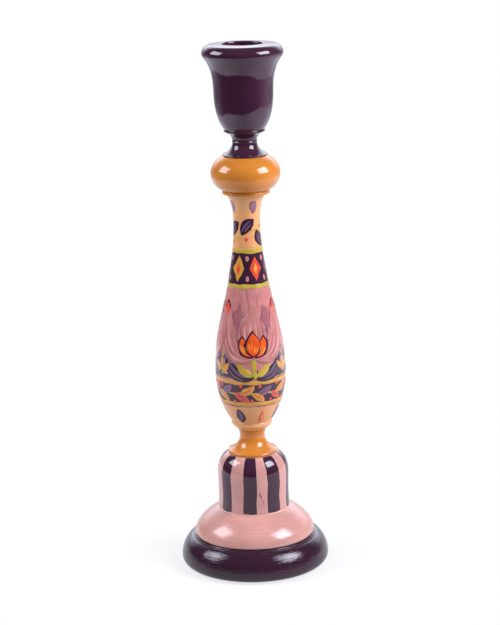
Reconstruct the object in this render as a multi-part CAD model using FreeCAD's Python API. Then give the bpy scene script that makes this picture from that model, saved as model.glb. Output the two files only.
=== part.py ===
import FreeCAD, Part
import math
import os

# A turned and painted wooden candlestick in millimetres, with +Z up.
# The origin is on the stick's axis, on the face of the felt that rests on the table.
# Seven turned sections stand on one axis, joined by two dowels and by one screw from below.
# Each section is a stack of members. A member has its own height, so any of them can be changed alone.

# Fits of the glued joints
GLUE_GAP = 0.1
GLUE_SPACE = 1.0

# Dowels, both cut from one size of fluted rod
DOWEL_RADIUS = 4.0
DOWEL_CHAMFER = 0.8
DOWEL_FLUTES = 12
DOWEL_FLUTE_RADIUS = 0.45
DOWEL_HOLE_RADIUS = DOWEL_RADIUS + GLUE_GAP
STEM_DOWEL_IN_BALUSTER = 20.0
CUP_DOWEL_IN_BALUSTER = 18.0
CUP_DOWEL_IN_CUP = 16.0

# Felt pad, let into the plinth's underside
FELT_RADIUS = 36.0
FELT_THICKNESS = 2.0
FELT_PROUD = 0.8
FELT_EDGE_GAP = 0.4
FELT_EDGE_ROUND = 0.4

# Plinth: the dark ring that the stick stands on
PLINTH_RADIUS = 42.0
PLINTH_TOE_INSET = 3.0
PLINTH_TOE_HEIGHT = 4.0
PLINTH_OVOLO_HEIGHT = 11.6
PLINTH_OVOLO_WIDTH = 6.6
PLINTH_OVOLO_SHARES = ((0.0, 0.40), (0.46, 0.90))
PLINTH_LIP_INSET = 0.6
PLINTH_LIP_HEIGHT = 1.2
PLINTH_LIP_ROUND = 0.5

# Cushion: the domed ring on the plinth
CUSHION_RADIUS = 33.9
CUSHION_TOE_INSET = 0.6
CUSHION_TOE_HEIGHT = 1.0
CUSHION_SWELL_HEIGHT = 14.1
CUSHION_SWELL_SHARES = ((0.0, 0.40), (0.60, 0.87))
CUSHION_SPIGOT_RADIUS = 22.0
CUSHION_SPIGOT_LENGTH = 3.0

# Dome: the striped drum with a round shoulder
DOME_CREASE_RADIUS = 20.1
DOME_WAIST_RADIUS = 19.85
DOME_SHOULDER_RADIUS = 20.0
DOME_TOP_RADIUS = 13.8
DOME_FOOT_HEIGHT = 9.0
DOME_BODY_HEIGHT = 12.8
DOME_SHOULDER_HEIGHT = 10.8
DOME_WAIST_SHARES = ((0.0, 0.35), (1.0, 0.65))
DOME_SHOULDER_SHARES = ((0.0, 0.42), (0.38, 0.88))
DOME_SPIGOT_RADIUS = 12.0
DOME_SPIGOT_LENGTH = 8.0
DOME_WEB = 4.0

# Collar: the small spool under the baluster
COLLAR_FLANGE_RADIUS = 14.1
COLLAR_FLANGE_TOE_INSET = 0.4
COLLAR_FLANGE_TOE_HEIGHT = 0.6
COLLAR_FLANGE_EDGE_INSET = 0.7
COLLAR_FLANGE_EDGE_HEIGHT = 0.9
COLLAR_COVE_HEIGHT = 7.6
COLLAR_NECK_WALL = 2.9
COLLAR_FLARE_HEIGHT = 5.0
COLLAR_FLARE_WIDTH = 1.5
COLLAR_COVE_SHARES = ((0.42, 0.12), (0.95, 0.45))
COLLAR_FLARE_SHARES = ((0.0, 0.5), (0.55, 0.86))

# Baluster: the long vase-shaped stem
BALUSTER_FOOT_RADIUS = 8.5
BALUSTER_BEAD_WIDTH = 3.0
BALUSTER_BEAD_HEIGHT = 3.3
BALUSTER_QUIRK_DEPTH = 0.35
BALUSTER_QUIRK_HEIGHT = 1.4
BALUSTER_BELLY_RADIUS = 19.6
BALUSTER_BELLY_HEIGHT = 27.9
BALUSTER_TAPER_HEIGHT = 85.0
BALUSTER_NECK_WALL = 3.3
BALUSTER_FLARE_HEIGHT = 16.8
BALUSTER_FLARE_WIDTH = 3.8
BALUSTER_BEAD_SHARES = ((0.2, 0.4), (1.0, 0.55))
BALUSTER_BELLY_SHARES = ((0.36, 0.15), (1.0, 0.50))
BALUSTER_TAPER_SHARES = ((0.0, 0.32), (1.0, 0.64))
BALUSTER_FLARE_SHARES = ((0.0, 0.5), (0.3, 0.81))

# Knop: the round bun under the cup, with a fillet below it
KNOP_RADIUS = 19.15
KNOP_FILLET_RADIUS = 13.2
KNOP_FILLET_HEIGHT = 1.8
KNOP_FILLET_ROUND = 0.5
KNOP_QUIRK_INSET = 0.5
KNOP_QUIRK_HEIGHT = 0.4
KNOP_BULGE_HEIGHT = 9.6
KNOP_CROWN_HEIGHT = 9.5
KNOP_TOP_RADIUS = 11.8
KNOP_BULGE_SHARES = ((0.62, 0.12), (1.0, 0.55))
KNOP_CROWN_SHARES = ((0.0, 0.45), (0.5, 0.84))

# Socket that a dinner candle stands in
SOCKET_RADIUS = 11.25
SOCKET_DEPTH = 28.0
SOCKET_LIP_ROUND = 0.8
SOCKET_SPUR_RADIUS = 1.5
SOCKET_SPUR_DEPTH = 1.2

# Cup: foot, neck and the bowl that holds the candle
CUP_FOOT_RADIUS = 12.45
CUP_FOOT_EDGE = 0.5
CUP_COVE_HEIGHT = 6.7
CUP_NECK_WALL = 2.65
CUP_RING_PROUD = 0.25
CUP_RING_HEIGHT = 0.8
CUP_THROAT_HEIGHT = 3.7
CUP_THROAT_WIDTH = 1.6
CUP_LEDGE_UNDERCUT = 1.3
CUP_LEDGE_RADIUS = 11.3
CUP_LEDGE_HEIGHT = 1.3
CUP_LEDGE_ROUND = 0.35
CUP_BOWL_STEP_HEIGHT = 0.5
CUP_BOWL_HEIGHT = 20.0
CUP_BOWL_WALL = 5.1
CUP_RIM_OVERHANG = 5.95
CUP_FLARE_HEIGHT = 18.8
CUP_LIP_UNDER_HEIGHT = 2.6
CUP_LIP_UNDER_WIDTH = 0.95
CUP_LIP_HEIGHT = 4.3
CUP_LIP_WIDTH = 4.0
CUP_TOP_FALL = 0.4
CUP_COVE_SHARES = ((0.52, 0.16), (1.0, 0.5))
CUP_THROAT_SHARES = ((0.0, 0.5), (0.7, 0.85))
CUP_BOWL_SHARES = ((0.5, 0.15), (1.0, 0.5))
CUP_FLARE_SHARES = ((0.0, 0.5), (0.38, 0.8))
CUP_LIP_UNDER_SHARES = ((0.5, 0.22), (1.0, 0.55))
CUP_LIP_SHARES = ((0.0, 0.5), (0.5, 1.0))

# Wood screw from below, and its washer
SCREW_BITE = 21.5
SCREW_BITE_GAP = 0.05
SCREW_HOLE_GAP = 0.3
SCREW_THREAD_RADIUS = 2.5
SCREW_THREAD_DEPTH = 0.8
SCREW_THREAD_PITCH = 2.2
SCREW_TIP_LENGTH = 4.0
SCREW_HEAD_WIDTH = 2.5
SCREW_HEAD_HEIGHT = 3.1
SCREW_HEAD_CROWN = 1.4
SCREW_SLOT_WIDTH = 1.1
SCREW_SLOT_LENGTH = 5.6
SCREW_SLOT_DEPTH = 1.7
SCREW_POCKET_DEPTH = 5.6
WASHER_RADIUS = 7.5
WASHER_THICKNESS = 1.2
WASHER_BORE_GAP = 0.2
WASHER_EDGE_GAP = 0.5

# Handles of a curve, as shares of its width and of its height, for a quarter of an ellipse
OUT_THEN_UP_SHARES = ((0.55, 0.0), (1.0, 0.45))
UP_THEN_IN_SHARES = ((0.0, 0.55), (0.45, 1.0))

# Levels of the plinth, cushion and dome
PLINTH_Z = FELT_PROUD
PLINTH_OVOLO_Z = PLINTH_Z + PLINTH_TOE_HEIGHT
PLINTH_LIP_Z = PLINTH_OVOLO_Z + PLINTH_OVOLO_HEIGHT
CUSHION_Z = PLINTH_LIP_Z + PLINTH_LIP_HEIGHT
CUSHION_SEAT_Z = CUSHION_Z - CUSHION_SPIGOT_LENGTH
CUSHION_SWELL_Z = CUSHION_Z + CUSHION_TOE_HEIGHT
DOME_Z = CUSHION_SWELL_Z + CUSHION_SWELL_HEIGHT
DOME_SPIGOT_Z = DOME_Z - DOME_SPIGOT_LENGTH
DOME_WAIST_Z = DOME_Z + DOME_FOOT_HEIGHT
DOME_SHOULDER_Z = DOME_WAIST_Z + DOME_BODY_HEIGHT

# Levels of the collar and baluster
COLLAR_Z = DOME_SHOULDER_Z + DOME_SHOULDER_HEIGHT
COLLAR_EDGE_Z = COLLAR_Z + COLLAR_FLANGE_TOE_HEIGHT
COLLAR_COVE_Z = COLLAR_EDGE_Z + COLLAR_FLANGE_EDGE_HEIGHT
COLLAR_NECK_Z = COLLAR_COVE_Z + COLLAR_COVE_HEIGHT
BALUSTER_Z = COLLAR_NECK_Z + COLLAR_FLARE_HEIGHT
BALUSTER_BEAD_Z = BALUSTER_Z + BALUSTER_BEAD_HEIGHT
BALUSTER_QUIRK_Z = BALUSTER_BEAD_Z + BALUSTER_QUIRK_HEIGHT
BALUSTER_BELLY_Z = BALUSTER_QUIRK_Z + BALUSTER_BELLY_HEIGHT
BALUSTER_NECK_Z = BALUSTER_BELLY_Z + BALUSTER_TAPER_HEIGHT

# Levels of the knop and cup
KNOP_Z = BALUSTER_NECK_Z + BALUSTER_FLARE_HEIGHT
KNOP_FILLET_Z = KNOP_Z + KNOP_FILLET_HEIGHT
KNOP_BULGE_Z = KNOP_FILLET_Z + KNOP_QUIRK_HEIGHT
KNOP_WIDEST_Z = KNOP_BULGE_Z + KNOP_BULGE_HEIGHT
CUP_Z = KNOP_WIDEST_Z + KNOP_CROWN_HEIGHT
CUP_COVE_Z = CUP_Z + CUP_FOOT_EDGE
CUP_RING_Z = CUP_COVE_Z + CUP_COVE_HEIGHT
CUP_THROAT_Z = CUP_RING_Z + CUP_RING_HEIGHT
CUP_UNDERCUT_Z = CUP_THROAT_Z + CUP_THROAT_HEIGHT
CUP_LEDGE_Z = CUP_UNDERCUT_Z + CUP_LEDGE_UNDERCUT
CUP_BOWL_STEP_Z = CUP_LEDGE_Z + CUP_LEDGE_HEIGHT
CUP_BOWL_Z = CUP_BOWL_STEP_Z + CUP_BOWL_STEP_HEIGHT
CUP_FLARE_Z = CUP_BOWL_Z + CUP_BOWL_HEIGHT
CUP_LIP_Z = CUP_FLARE_Z + CUP_FLARE_HEIGHT
CUP_WIDEST_Z = CUP_LIP_Z + CUP_LIP_UNDER_HEIGHT
CUP_SHELF_Z = CUP_WIDEST_Z + CUP_LIP_HEIGHT
TOP_Z = CUP_SHELF_Z + CUP_TOP_FALL

# Where the screw and the dowels lie
SCREW_POCKET_Z = FELT_THICKNESS + SCREW_POCKET_DEPTH
SCREW_SEAT_Z = SCREW_POCKET_Z - WASHER_THICKNESS
SCREW_TIP_Z = DOME_SPIGOT_Z + SCREW_BITE
SCREW_HOLE_TOP_Z = SCREW_TIP_Z + GLUE_SPACE
SCREW_HOLE_RADIUS = SCREW_THREAD_RADIUS + SCREW_HOLE_GAP
SCREW_BITE_RADIUS = SCREW_THREAD_RADIUS + SCREW_BITE_GAP
STEM_DOWEL_HOLE_Z = SCREW_HOLE_TOP_Z + DOME_WEB
STEM_DOWEL_Z = STEM_DOWEL_HOLE_Z + GLUE_SPACE
STEM_DOWEL_TOP_Z = BALUSTER_Z + STEM_DOWEL_IN_BALUSTER
CUP_DOWEL_Z = KNOP_Z - CUP_DOWEL_IN_BALUSTER
CUP_DOWEL_TOP_Z = CUP_Z + CUP_DOWEL_IN_CUP


class Outline:
    """Half of a turned section's outline, in radius and height, drawn as a pen moves."""

    def __init__(self, radius, height):
        self.start = FreeCAD.Vector(radius, 0, height)
        self.here = self.start
        self.edges = []

    def line(self, radius, height):
        """Goes straight to a point."""
        end = FreeCAD.Vector(radius, 0, height)
        self.edges.append(Part.LineSegment(self.here, end).toShape())
        self.here = end

    def curve(self, radius, height, handle_shares):
        """Goes to a point on a smooth curve. A handle is a share of the way out and of the way up."""
        end = FreeCAD.Vector(radius, 0, height)
        width = end.x - self.here.x
        rise = end.z - self.here.z
        handles = [
            FreeCAD.Vector(self.here.x + out * width, 0, self.here.z + up * rise)
            for out, up in handle_shares
        ]
        bezier = Part.BezierCurve()
        bezier.setPoles([self.here, *handles, end])
        self.edges.append(bezier.toShape())
        self.here = end

    def turned(self):
        """Closes the outline with a straight edge and turns it about the axis."""
        self.line(self.start.x, self.start.z)
        face = Part.Face(Part.Wire(self.edges))
        return face.revolve(FreeCAD.Vector(0, 0, 0), FreeCAD.Vector(0, 0, 1), 360)


def felt_pad():
    """Disc of felt with a softened edge."""
    pad = Outline(0, 0)
    pad.line(FELT_RADIUS - FELT_EDGE_ROUND, 0)
    pad.curve(FELT_RADIUS, FELT_EDGE_ROUND, OUT_THEN_UP_SHARES)
    pad.line(FELT_RADIUS, FELT_THICKNESS)
    pad.line(0, FELT_THICKNESS)
    return pad.turned()


def base_plinth():
    """Foot ring: felt recess and screw pocket below, seat for the cushion's spigot above."""
    recess_radius = FELT_RADIUS + FELT_EDGE_GAP
    pocket_radius = WASHER_RADIUS + WASHER_EDGE_GAP
    seat_radius = CUSHION_SPIGOT_RADIUS + GLUE_GAP
    shelf_radius = PLINTH_RADIUS - PLINTH_OVOLO_WIDTH
    lip_radius = shelf_radius - PLINTH_LIP_INSET
    ring = Outline(recess_radius, PLINTH_Z)
    ring.line(PLINTH_RADIUS - PLINTH_TOE_INSET, PLINTH_Z)
    ring.curve(PLINTH_RADIUS, PLINTH_OVOLO_Z, OUT_THEN_UP_SHARES)
    ring.curve(shelf_radius, PLINTH_LIP_Z, PLINTH_OVOLO_SHARES)
    ring.line(lip_radius, PLINTH_LIP_Z)
    ring.line(lip_radius, CUSHION_Z - PLINTH_LIP_ROUND)
    ring.curve(lip_radius - PLINTH_LIP_ROUND, CUSHION_Z, UP_THEN_IN_SHARES)
    ring.line(seat_radius, CUSHION_Z)
    ring.line(seat_radius, CUSHION_SEAT_Z)
    ring.line(SCREW_HOLE_RADIUS, CUSHION_SEAT_Z)
    ring.line(SCREW_HOLE_RADIUS, SCREW_POCKET_Z)
    ring.line(pocket_radius, SCREW_POCKET_Z)
    ring.line(pocket_radius, FELT_THICKNESS)
    ring.line(recess_radius, FELT_THICKNESS)
    return ring.turned()


def base_cushion():
    """Domed ring with a spigot below and a seat for the dome's spigot above."""
    seat_radius = DOME_SPIGOT_RADIUS + GLUE_GAP
    seat_z = DOME_SPIGOT_Z - GLUE_GAP
    ring = Outline(SCREW_HOLE_RADIUS, CUSHION_SEAT_Z)
    ring.line(CUSHION_SPIGOT_RADIUS, CUSHION_SEAT_Z)
    ring.line(CUSHION_SPIGOT_RADIUS, CUSHION_Z)
    ring.line(CUSHION_RADIUS - CUSHION_TOE_INSET, CUSHION_Z)
    ring.curve(CUSHION_RADIUS, CUSHION_SWELL_Z, OUT_THEN_UP_SHARES)
    ring.curve(DOME_CREASE_RADIUS, DOME_Z, CUSHION_SWELL_SHARES)
    ring.line(seat_radius, DOME_Z)
    ring.line(seat_radius, seat_z)
    ring.line(SCREW_HOLE_RADIUS, seat_z)
    return ring.turned()


def striped_dome():
    """Drum with a round shoulder: spigot and screw hole below, dowel hole above."""
    drum = Outline(0, SCREW_HOLE_TOP_Z)
    drum.line(SCREW_BITE_RADIUS, SCREW_HOLE_TOP_Z)
    drum.line(SCREW_BITE_RADIUS, DOME_SPIGOT_Z)
    drum.line(DOME_SPIGOT_RADIUS, DOME_SPIGOT_Z)
    drum.line(DOME_SPIGOT_RADIUS, DOME_Z)
    drum.line(DOME_CREASE_RADIUS, DOME_Z)
    drum.curve(DOME_WAIST_RADIUS, DOME_WAIST_Z, DOME_WAIST_SHARES)
    drum.curve(DOME_SHOULDER_RADIUS, DOME_SHOULDER_Z, DOME_WAIST_SHARES)
    drum.curve(DOME_TOP_RADIUS, COLLAR_Z, DOME_SHOULDER_SHARES)
    drum.line(DOWEL_HOLE_RADIUS, COLLAR_Z)
    drum.line(DOWEL_HOLE_RADIUS, STEM_DOWEL_HOLE_Z)
    drum.line(0, STEM_DOWEL_HOLE_Z)
    return drum.turned()


def lower_collar():
    """Spool with a wide rounded flange, bored through for the stem dowel."""
    neck_radius = DOWEL_HOLE_RADIUS + COLLAR_NECK_WALL
    spool = Outline(DOWEL_HOLE_RADIUS, COLLAR_Z)
    spool.line(COLLAR_FLANGE_RADIUS - COLLAR_FLANGE_TOE_INSET, COLLAR_Z)
    spool.curve(COLLAR_FLANGE_RADIUS, COLLAR_EDGE_Z, OUT_THEN_UP_SHARES)
    spool.curve(COLLAR_FLANGE_RADIUS - COLLAR_FLANGE_EDGE_INSET, COLLAR_COVE_Z, UP_THEN_IN_SHARES)
    spool.curve(neck_radius, COLLAR_NECK_Z, COLLAR_COVE_SHARES)
    spool.curve(neck_radius + COLLAR_FLARE_WIDTH, BALUSTER_Z, COLLAR_FLARE_SHARES)
    spool.line(DOWEL_HOLE_RADIUS, BALUSTER_Z)
    return spool.turned()


def baluster_stem():
    """Long vase with a bead at its foot and a flared top, bored at both ends for the dowels."""
    bead_radius = BALUSTER_FOOT_RADIUS + BALUSTER_BEAD_WIDTH
    quirk_radius = bead_radius - BALUSTER_QUIRK_DEPTH
    neck_radius = DOWEL_HOLE_RADIUS + BALUSTER_NECK_WALL
    stem = Outline(0, STEM_DOWEL_TOP_Z + GLUE_SPACE)
    stem.line(DOWEL_HOLE_RADIUS, STEM_DOWEL_TOP_Z + GLUE_SPACE)
    stem.line(DOWEL_HOLE_RADIUS, BALUSTER_Z)
    stem.line(BALUSTER_FOOT_RADIUS, BALUSTER_Z)
    stem.curve(bead_radius, BALUSTER_BEAD_Z, BALUSTER_BEAD_SHARES)
    stem.curve(quirk_radius, BALUSTER_QUIRK_Z, UP_THEN_IN_SHARES)
    stem.curve(BALUSTER_BELLY_RADIUS, BALUSTER_BELLY_Z, BALUSTER_BELLY_SHARES)
    stem.curve(neck_radius, BALUSTER_NECK_Z, BALUSTER_TAPER_SHARES)
    stem.curve(neck_radius + BALUSTER_FLARE_WIDTH, KNOP_Z, BALUSTER_FLARE_SHARES)
    stem.line(DOWEL_HOLE_RADIUS, KNOP_Z)
    stem.line(DOWEL_HOLE_RADIUS, CUP_DOWEL_Z - GLUE_SPACE)
    stem.line(0, CUP_DOWEL_Z - GLUE_SPACE)
    return stem.turned()


def upper_knop():
    """Round bun on a thin fillet, bored through for the cup dowel."""
    flat_radius = KNOP_FILLET_RADIUS - KNOP_FILLET_ROUND
    bun = Outline(DOWEL_HOLE_RADIUS, KNOP_Z)
    bun.line(flat_radius, KNOP_Z)
    bun.curve(KNOP_FILLET_RADIUS, KNOP_Z + KNOP_FILLET_ROUND, OUT_THEN_UP_SHARES)
    bun.line(KNOP_FILLET_RADIUS, KNOP_FILLET_Z - KNOP_FILLET_ROUND)
    bun.curve(flat_radius, KNOP_FILLET_Z, UP_THEN_IN_SHARES)
    bun.line(KNOP_FILLET_RADIUS - KNOP_QUIRK_INSET, KNOP_BULGE_Z)
    bun.curve(KNOP_RADIUS, KNOP_WIDEST_Z, KNOP_BULGE_SHARES)
    bun.curve(KNOP_TOP_RADIUS, CUP_Z, KNOP_CROWN_SHARES)
    bun.line(DOWEL_HOLE_RADIUS, CUP_Z)
    return bun.turned()


def candle_cup():
    """Foot, neck and flared bowl in one piece, with the candle socket and a dowel hole."""
    neck_radius = DOWEL_HOLE_RADIUS + CUP_NECK_WALL
    throat_radius = neck_radius + CUP_THROAT_WIDTH
    ledge_edge_radius = CUP_LEDGE_RADIUS - CUP_LEDGE_ROUND
    bowl_radius = SOCKET_RADIUS + CUP_BOWL_WALL
    rim_radius = bowl_radius + CUP_RIM_OVERHANG
    socket_z = TOP_Z - SOCKET_DEPTH
    cup = Outline(0, CUP_DOWEL_TOP_Z + GLUE_SPACE)
    cup.line(DOWEL_HOLE_RADIUS, CUP_DOWEL_TOP_Z + GLUE_SPACE)
    cup.line(DOWEL_HOLE_RADIUS, CUP_Z)
    cup.line(CUP_FOOT_RADIUS, CUP_Z)
    cup.line(CUP_FOOT_RADIUS, CUP_COVE_Z)
    cup.curve(neck_radius, CUP_RING_Z, CUP_COVE_SHARES)
    cup.line(neck_radius + CUP_RING_PROUD, CUP_RING_Z + CUP_RING_HEIGHT / 2)
    cup.line(neck_radius, CUP_THROAT_Z)
    cup.curve(throat_radius, CUP_UNDERCUT_Z, CUP_THROAT_SHARES)
    cup.line(ledge_edge_radius, CUP_LEDGE_Z)
    cup.curve(CUP_LEDGE_RADIUS, CUP_LEDGE_Z + CUP_LEDGE_ROUND, OUT_THEN_UP_SHARES)
    cup.line(CUP_LEDGE_RADIUS, CUP_BOWL_STEP_Z - CUP_LEDGE_ROUND)
    cup.curve(ledge_edge_radius, CUP_BOWL_STEP_Z, UP_THEN_IN_SHARES)
    cup.line(CUP_LEDGE_RADIUS, CUP_BOWL_Z)
    cup.curve(bowl_radius, CUP_FLARE_Z, CUP_BOWL_SHARES)
    cup.curve(rim_radius - CUP_LIP_UNDER_WIDTH, CUP_LIP_Z, CUP_FLARE_SHARES)
    cup.curve(rim_radius, CUP_WIDEST_Z, CUP_LIP_UNDER_SHARES)
    cup.curve(rim_radius - CUP_LIP_WIDTH, CUP_SHELF_Z, CUP_LIP_SHARES)
    cup.line(SOCKET_RADIUS + SOCKET_LIP_ROUND, TOP_Z)
    cup.curve(SOCKET_RADIUS, TOP_Z - SOCKET_LIP_ROUND, OUT_THEN_UP_SHARES)
    cup.line(SOCKET_RADIUS, socket_z)
    cup.line(SOCKET_SPUR_RADIUS, socket_z)
    cup.line(0, socket_z - SOCKET_SPUR_DEPTH)
    return cup.turned()


def dowel(foot_z, top_z):
    """Fluted rod with chamfered ends, standing on the axis."""
    rod = Outline(0, foot_z)
    rod.line(DOWEL_RADIUS - DOWEL_CHAMFER, foot_z)
    rod.line(DOWEL_RADIUS, foot_z + DOWEL_CHAMFER)
    rod.line(DOWEL_RADIUS, top_z - DOWEL_CHAMFER)
    rod.line(DOWEL_RADIUS - DOWEL_CHAMFER, top_z)
    rod.line(0, top_z)
    flutes = []
    for number in range(DOWEL_FLUTES):
        turn = 2 * math.pi * number / DOWEL_FLUTES
        foot = FreeCAD.Vector(DOWEL_RADIUS * math.cos(turn), DOWEL_RADIUS * math.sin(turn), foot_z)
        flutes.append(Part.makeCylinder(DOWEL_FLUTE_RADIUS, top_z - foot_z, foot))
    return rod.turned().cut(flutes).Solids[0]


def base_screw():
    """Pan-head wood screw with a cross in its head, point up. Its thread is a row of ridges."""
    root_radius = SCREW_THREAD_RADIUS - SCREW_THREAD_DEPTH
    head_radius = SCREW_THREAD_RADIUS + SCREW_HEAD_WIDTH
    head_z = SCREW_SEAT_Z - SCREW_HEAD_HEIGHT
    thread_z = DOME_SPIGOT_Z
    tip_foot_z = SCREW_TIP_Z - SCREW_TIP_LENGTH
    turns = max(1, round((tip_foot_z - thread_z) / SCREW_THREAD_PITCH))
    pitch = (tip_foot_z - thread_z) / turns
    screw = Outline(0, head_z)
    screw.curve(head_radius, head_z + SCREW_HEAD_CROWN, OUT_THEN_UP_SHARES)
    screw.line(head_radius, SCREW_SEAT_Z)
    screw.line(SCREW_THREAD_RADIUS, SCREW_SEAT_Z)
    screw.line(SCREW_THREAD_RADIUS, thread_z)
    for number in range(turns):
        ridge_z = thread_z + number * pitch
        screw.line(root_radius, ridge_z + pitch / 2)
        screw.line(SCREW_THREAD_RADIUS, ridge_z + pitch)
    screw.line(root_radius, tip_foot_z)
    screw.line(0, SCREW_TIP_Z)
    slot = Part.makeBox(SCREW_SLOT_LENGTH, SCREW_SLOT_WIDTH, SCREW_SLOT_DEPTH)
    slot.translate(FreeCAD.Vector(-SCREW_SLOT_LENGTH / 2, -SCREW_SLOT_WIDTH / 2, head_z))
    cross = slot.copy()
    cross.rotate(FreeCAD.Vector(0, 0, 0), FreeCAD.Vector(0, 0, 1), 90)
    return screw.turned().cut([slot, cross]).Solids[0]


def screw_washer():
    """Flat washer between the screw's head and the plinth."""
    bore_radius = SCREW_THREAD_RADIUS + WASHER_BORE_GAP
    ring = Outline(bore_radius, SCREW_SEAT_Z)
    ring.line(WASHER_RADIUS, SCREW_SEAT_Z)
    ring.line(WASHER_RADIUS, SCREW_POCKET_Z)
    ring.line(bore_radius, SCREW_POCKET_Z)
    return ring.turned()


def main():
    """Builds each piece and writes it to its own file."""
    pieces = {
        "felt_pad": felt_pad(),
        "base_plinth": base_plinth(),
        "base_cushion": base_cushion(),
        "striped_dome": striped_dome(),
        "lower_collar": lower_collar(),
        "baluster_stem": baluster_stem(),
        "upper_knop": upper_knop(),
        "candle_cup": candle_cup(),
        "stem_dowel": dowel(STEM_DOWEL_Z, STEM_DOWEL_TOP_Z),
        "cup_dowel": dowel(CUP_DOWEL_Z, CUP_DOWEL_TOP_Z),
        "base_screw": base_screw(),
        "screw_washer": screw_washer(),
    }
    os.makedirs("parts", exist_ok=True)
    for name, shape in pieces.items():
        print(name, shape.ShapeType, shape.isValid(), round(shape.Volume, 1))
        shape.exportStep(f"parts/{name}.step")
    print("height", TOP_Z)


main()
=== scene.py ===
import math
import random
from typing import NamedTuple

import bmesh
import bpy
from mathutils import Matrix, Vector, noise
from mathutils.geometry import interpolate_bezier


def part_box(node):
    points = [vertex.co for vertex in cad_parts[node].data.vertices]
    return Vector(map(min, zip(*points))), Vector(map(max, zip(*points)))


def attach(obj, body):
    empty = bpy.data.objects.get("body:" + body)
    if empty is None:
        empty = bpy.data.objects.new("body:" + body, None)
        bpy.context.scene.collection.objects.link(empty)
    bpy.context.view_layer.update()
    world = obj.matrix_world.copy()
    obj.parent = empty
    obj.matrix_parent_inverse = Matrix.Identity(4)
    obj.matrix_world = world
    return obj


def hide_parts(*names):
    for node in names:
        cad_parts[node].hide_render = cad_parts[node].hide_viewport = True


bl_info = {
    "name": "Painted Candlestick",
    "version": (1, 0, 0),
    "blender": (4, 5, 0),
    "location": "View3D > Sidebar > Candlestick",
    "description": "Builds a turned and painted wooden candlestick and the studio around it",
    "category": "Add Mesh",
}

MM = 0.001
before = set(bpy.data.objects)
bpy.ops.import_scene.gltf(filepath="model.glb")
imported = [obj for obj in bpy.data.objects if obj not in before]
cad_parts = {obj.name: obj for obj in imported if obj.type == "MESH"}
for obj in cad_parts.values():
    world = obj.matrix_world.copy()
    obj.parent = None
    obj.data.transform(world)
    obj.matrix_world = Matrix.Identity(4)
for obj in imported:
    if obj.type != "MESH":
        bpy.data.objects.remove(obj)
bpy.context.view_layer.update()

# Levels of the turned sections, taken from the frame
PLINTH_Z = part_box("base_plinth")[0].z
CUSHION_SEAT_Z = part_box("base_cushion")[0].z
CUSHION_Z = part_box("base_plinth")[1].z
DOME_SPIGOT_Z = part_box("striped_dome")[0].z
DOME_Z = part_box("base_cushion")[1].z
COLLAR_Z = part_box("lower_collar")[0].z
BALUSTER_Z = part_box("baluster_stem")[0].z
KNOP_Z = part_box("upper_knop")[0].z
CUP_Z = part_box("candle_cup")[0].z
TOP_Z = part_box("candle_cup")[1].z
FELT_TOP_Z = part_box("felt_pad")[1].z
SCREW_TIP_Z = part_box("base_screw")[1].z
WASHER_TOP_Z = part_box("screw_washer")[1].z
STEM_DOWEL_Z, STEM_DOWEL_TOP_Z = (corner.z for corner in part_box("stem_dowel"))
CUP_DOWEL_Z, CUP_DOWEL_TOP_Z = (corner.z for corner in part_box("cup_dowel"))

# Holes that the sections are bored with, around the pieces that they hold
GLUE_GAP = 0.1 * MM
GLUE_SPACE = 1.0 * MM
EDGE_GAP = 0.5 * MM
DOWEL_HOLE_RADIUS = 4.1 * MM
SCREW_HOLE_RADIUS = 2.8 * MM
SCREW_BITE_RADIUS = 2.55 * MM
FELT_RECESS_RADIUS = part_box("felt_pad")[1].x + 0.4 * MM
WASHER_POCKET_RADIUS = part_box("screw_washer")[1].x + EDGE_GAP

# Handles of a curve, as shares of its width and of its height
OUT_THEN_UP_SHARES = ((0.55, 0.0), (1.0, 0.45))
UP_THEN_IN_SHARES = ((0.0, 0.55), (0.45, 1.0))
PLINTH_OVOLO_SHARES = ((0.0, 0.40), (0.46, 0.90))
CUSHION_SWELL_SHARES = ((0.0, 0.40), (0.60, 0.87))
DOME_WAIST_SHARES = ((0.0, 0.35), (1.0, 0.65))
DOME_SHOULDER_SHARES = ((0.0, 0.42), (0.38, 0.88))
COLLAR_COVE_SHARES = ((0.42, 0.12), (0.95, 0.45))
COLLAR_FLARE_SHARES = ((0.0, 0.5), (0.55, 0.86))
BALUSTER_BEAD_SHARES = ((0.2, 0.4), (1.0, 0.55))
BALUSTER_BELLY_SHARES = ((0.36, 0.15), (1.0, 0.50))
BALUSTER_TAPER_SHARES = ((0.0, 0.32), (1.0, 0.64))
BALUSTER_FLARE_SHARES = ((0.0, 0.5), (0.3, 0.81))
KNOP_BULGE_SHARES = ((0.62, 0.12), (1.0, 0.55))
KNOP_CROWN_SHARES = ((0.0, 0.45), (0.5, 0.84))
CUP_COVE_SHARES = ((0.52, 0.16), (1.0, 0.5))
CUP_THROAT_SHARES = ((0.0, 0.5), (0.7, 0.85))
CUP_BOWL_SHARES = ((0.5, 0.15), (1.0, 0.5))
CUP_FLARE_SHARES = ((0.0, 0.5), (0.38, 0.8))
CUP_LIP_UNDER_SHARES = ((0.5, 0.22), (1.0, 0.55))
CUP_LIP_SHARES = ((0.0, 0.5), (0.5, 1.0))

# Fineness of the turned meshes, and the soft corners that thick paint leaves
TURN_STEPS = 192
CURVE_SPACING = 0.5 * MM
CORNER_ROUND = 0.16 * MM
CORNER_SHARE = 0.45
CORNER_ANGLE = math.radians(18)
CORNER_STEPS = 3
SHARP_ANGLE = math.radians(45)
SAME_PLACE = 0.001 * MM

# How far the enamel runs down into the socket, on a fine part of its wall, with a ragged edge
SOCKET_PAINT = 8 * MM
SOCKET_STEPS = 20
PAINT_RUN = 2.5 * MM
PAINT_RUN_SPREAD = 2.5 * MM
PAINT_RUN_SPAN = 3 * MM

# Enamel and bare wood bend light alike
CLEAR_IOR = 1.5

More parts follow.
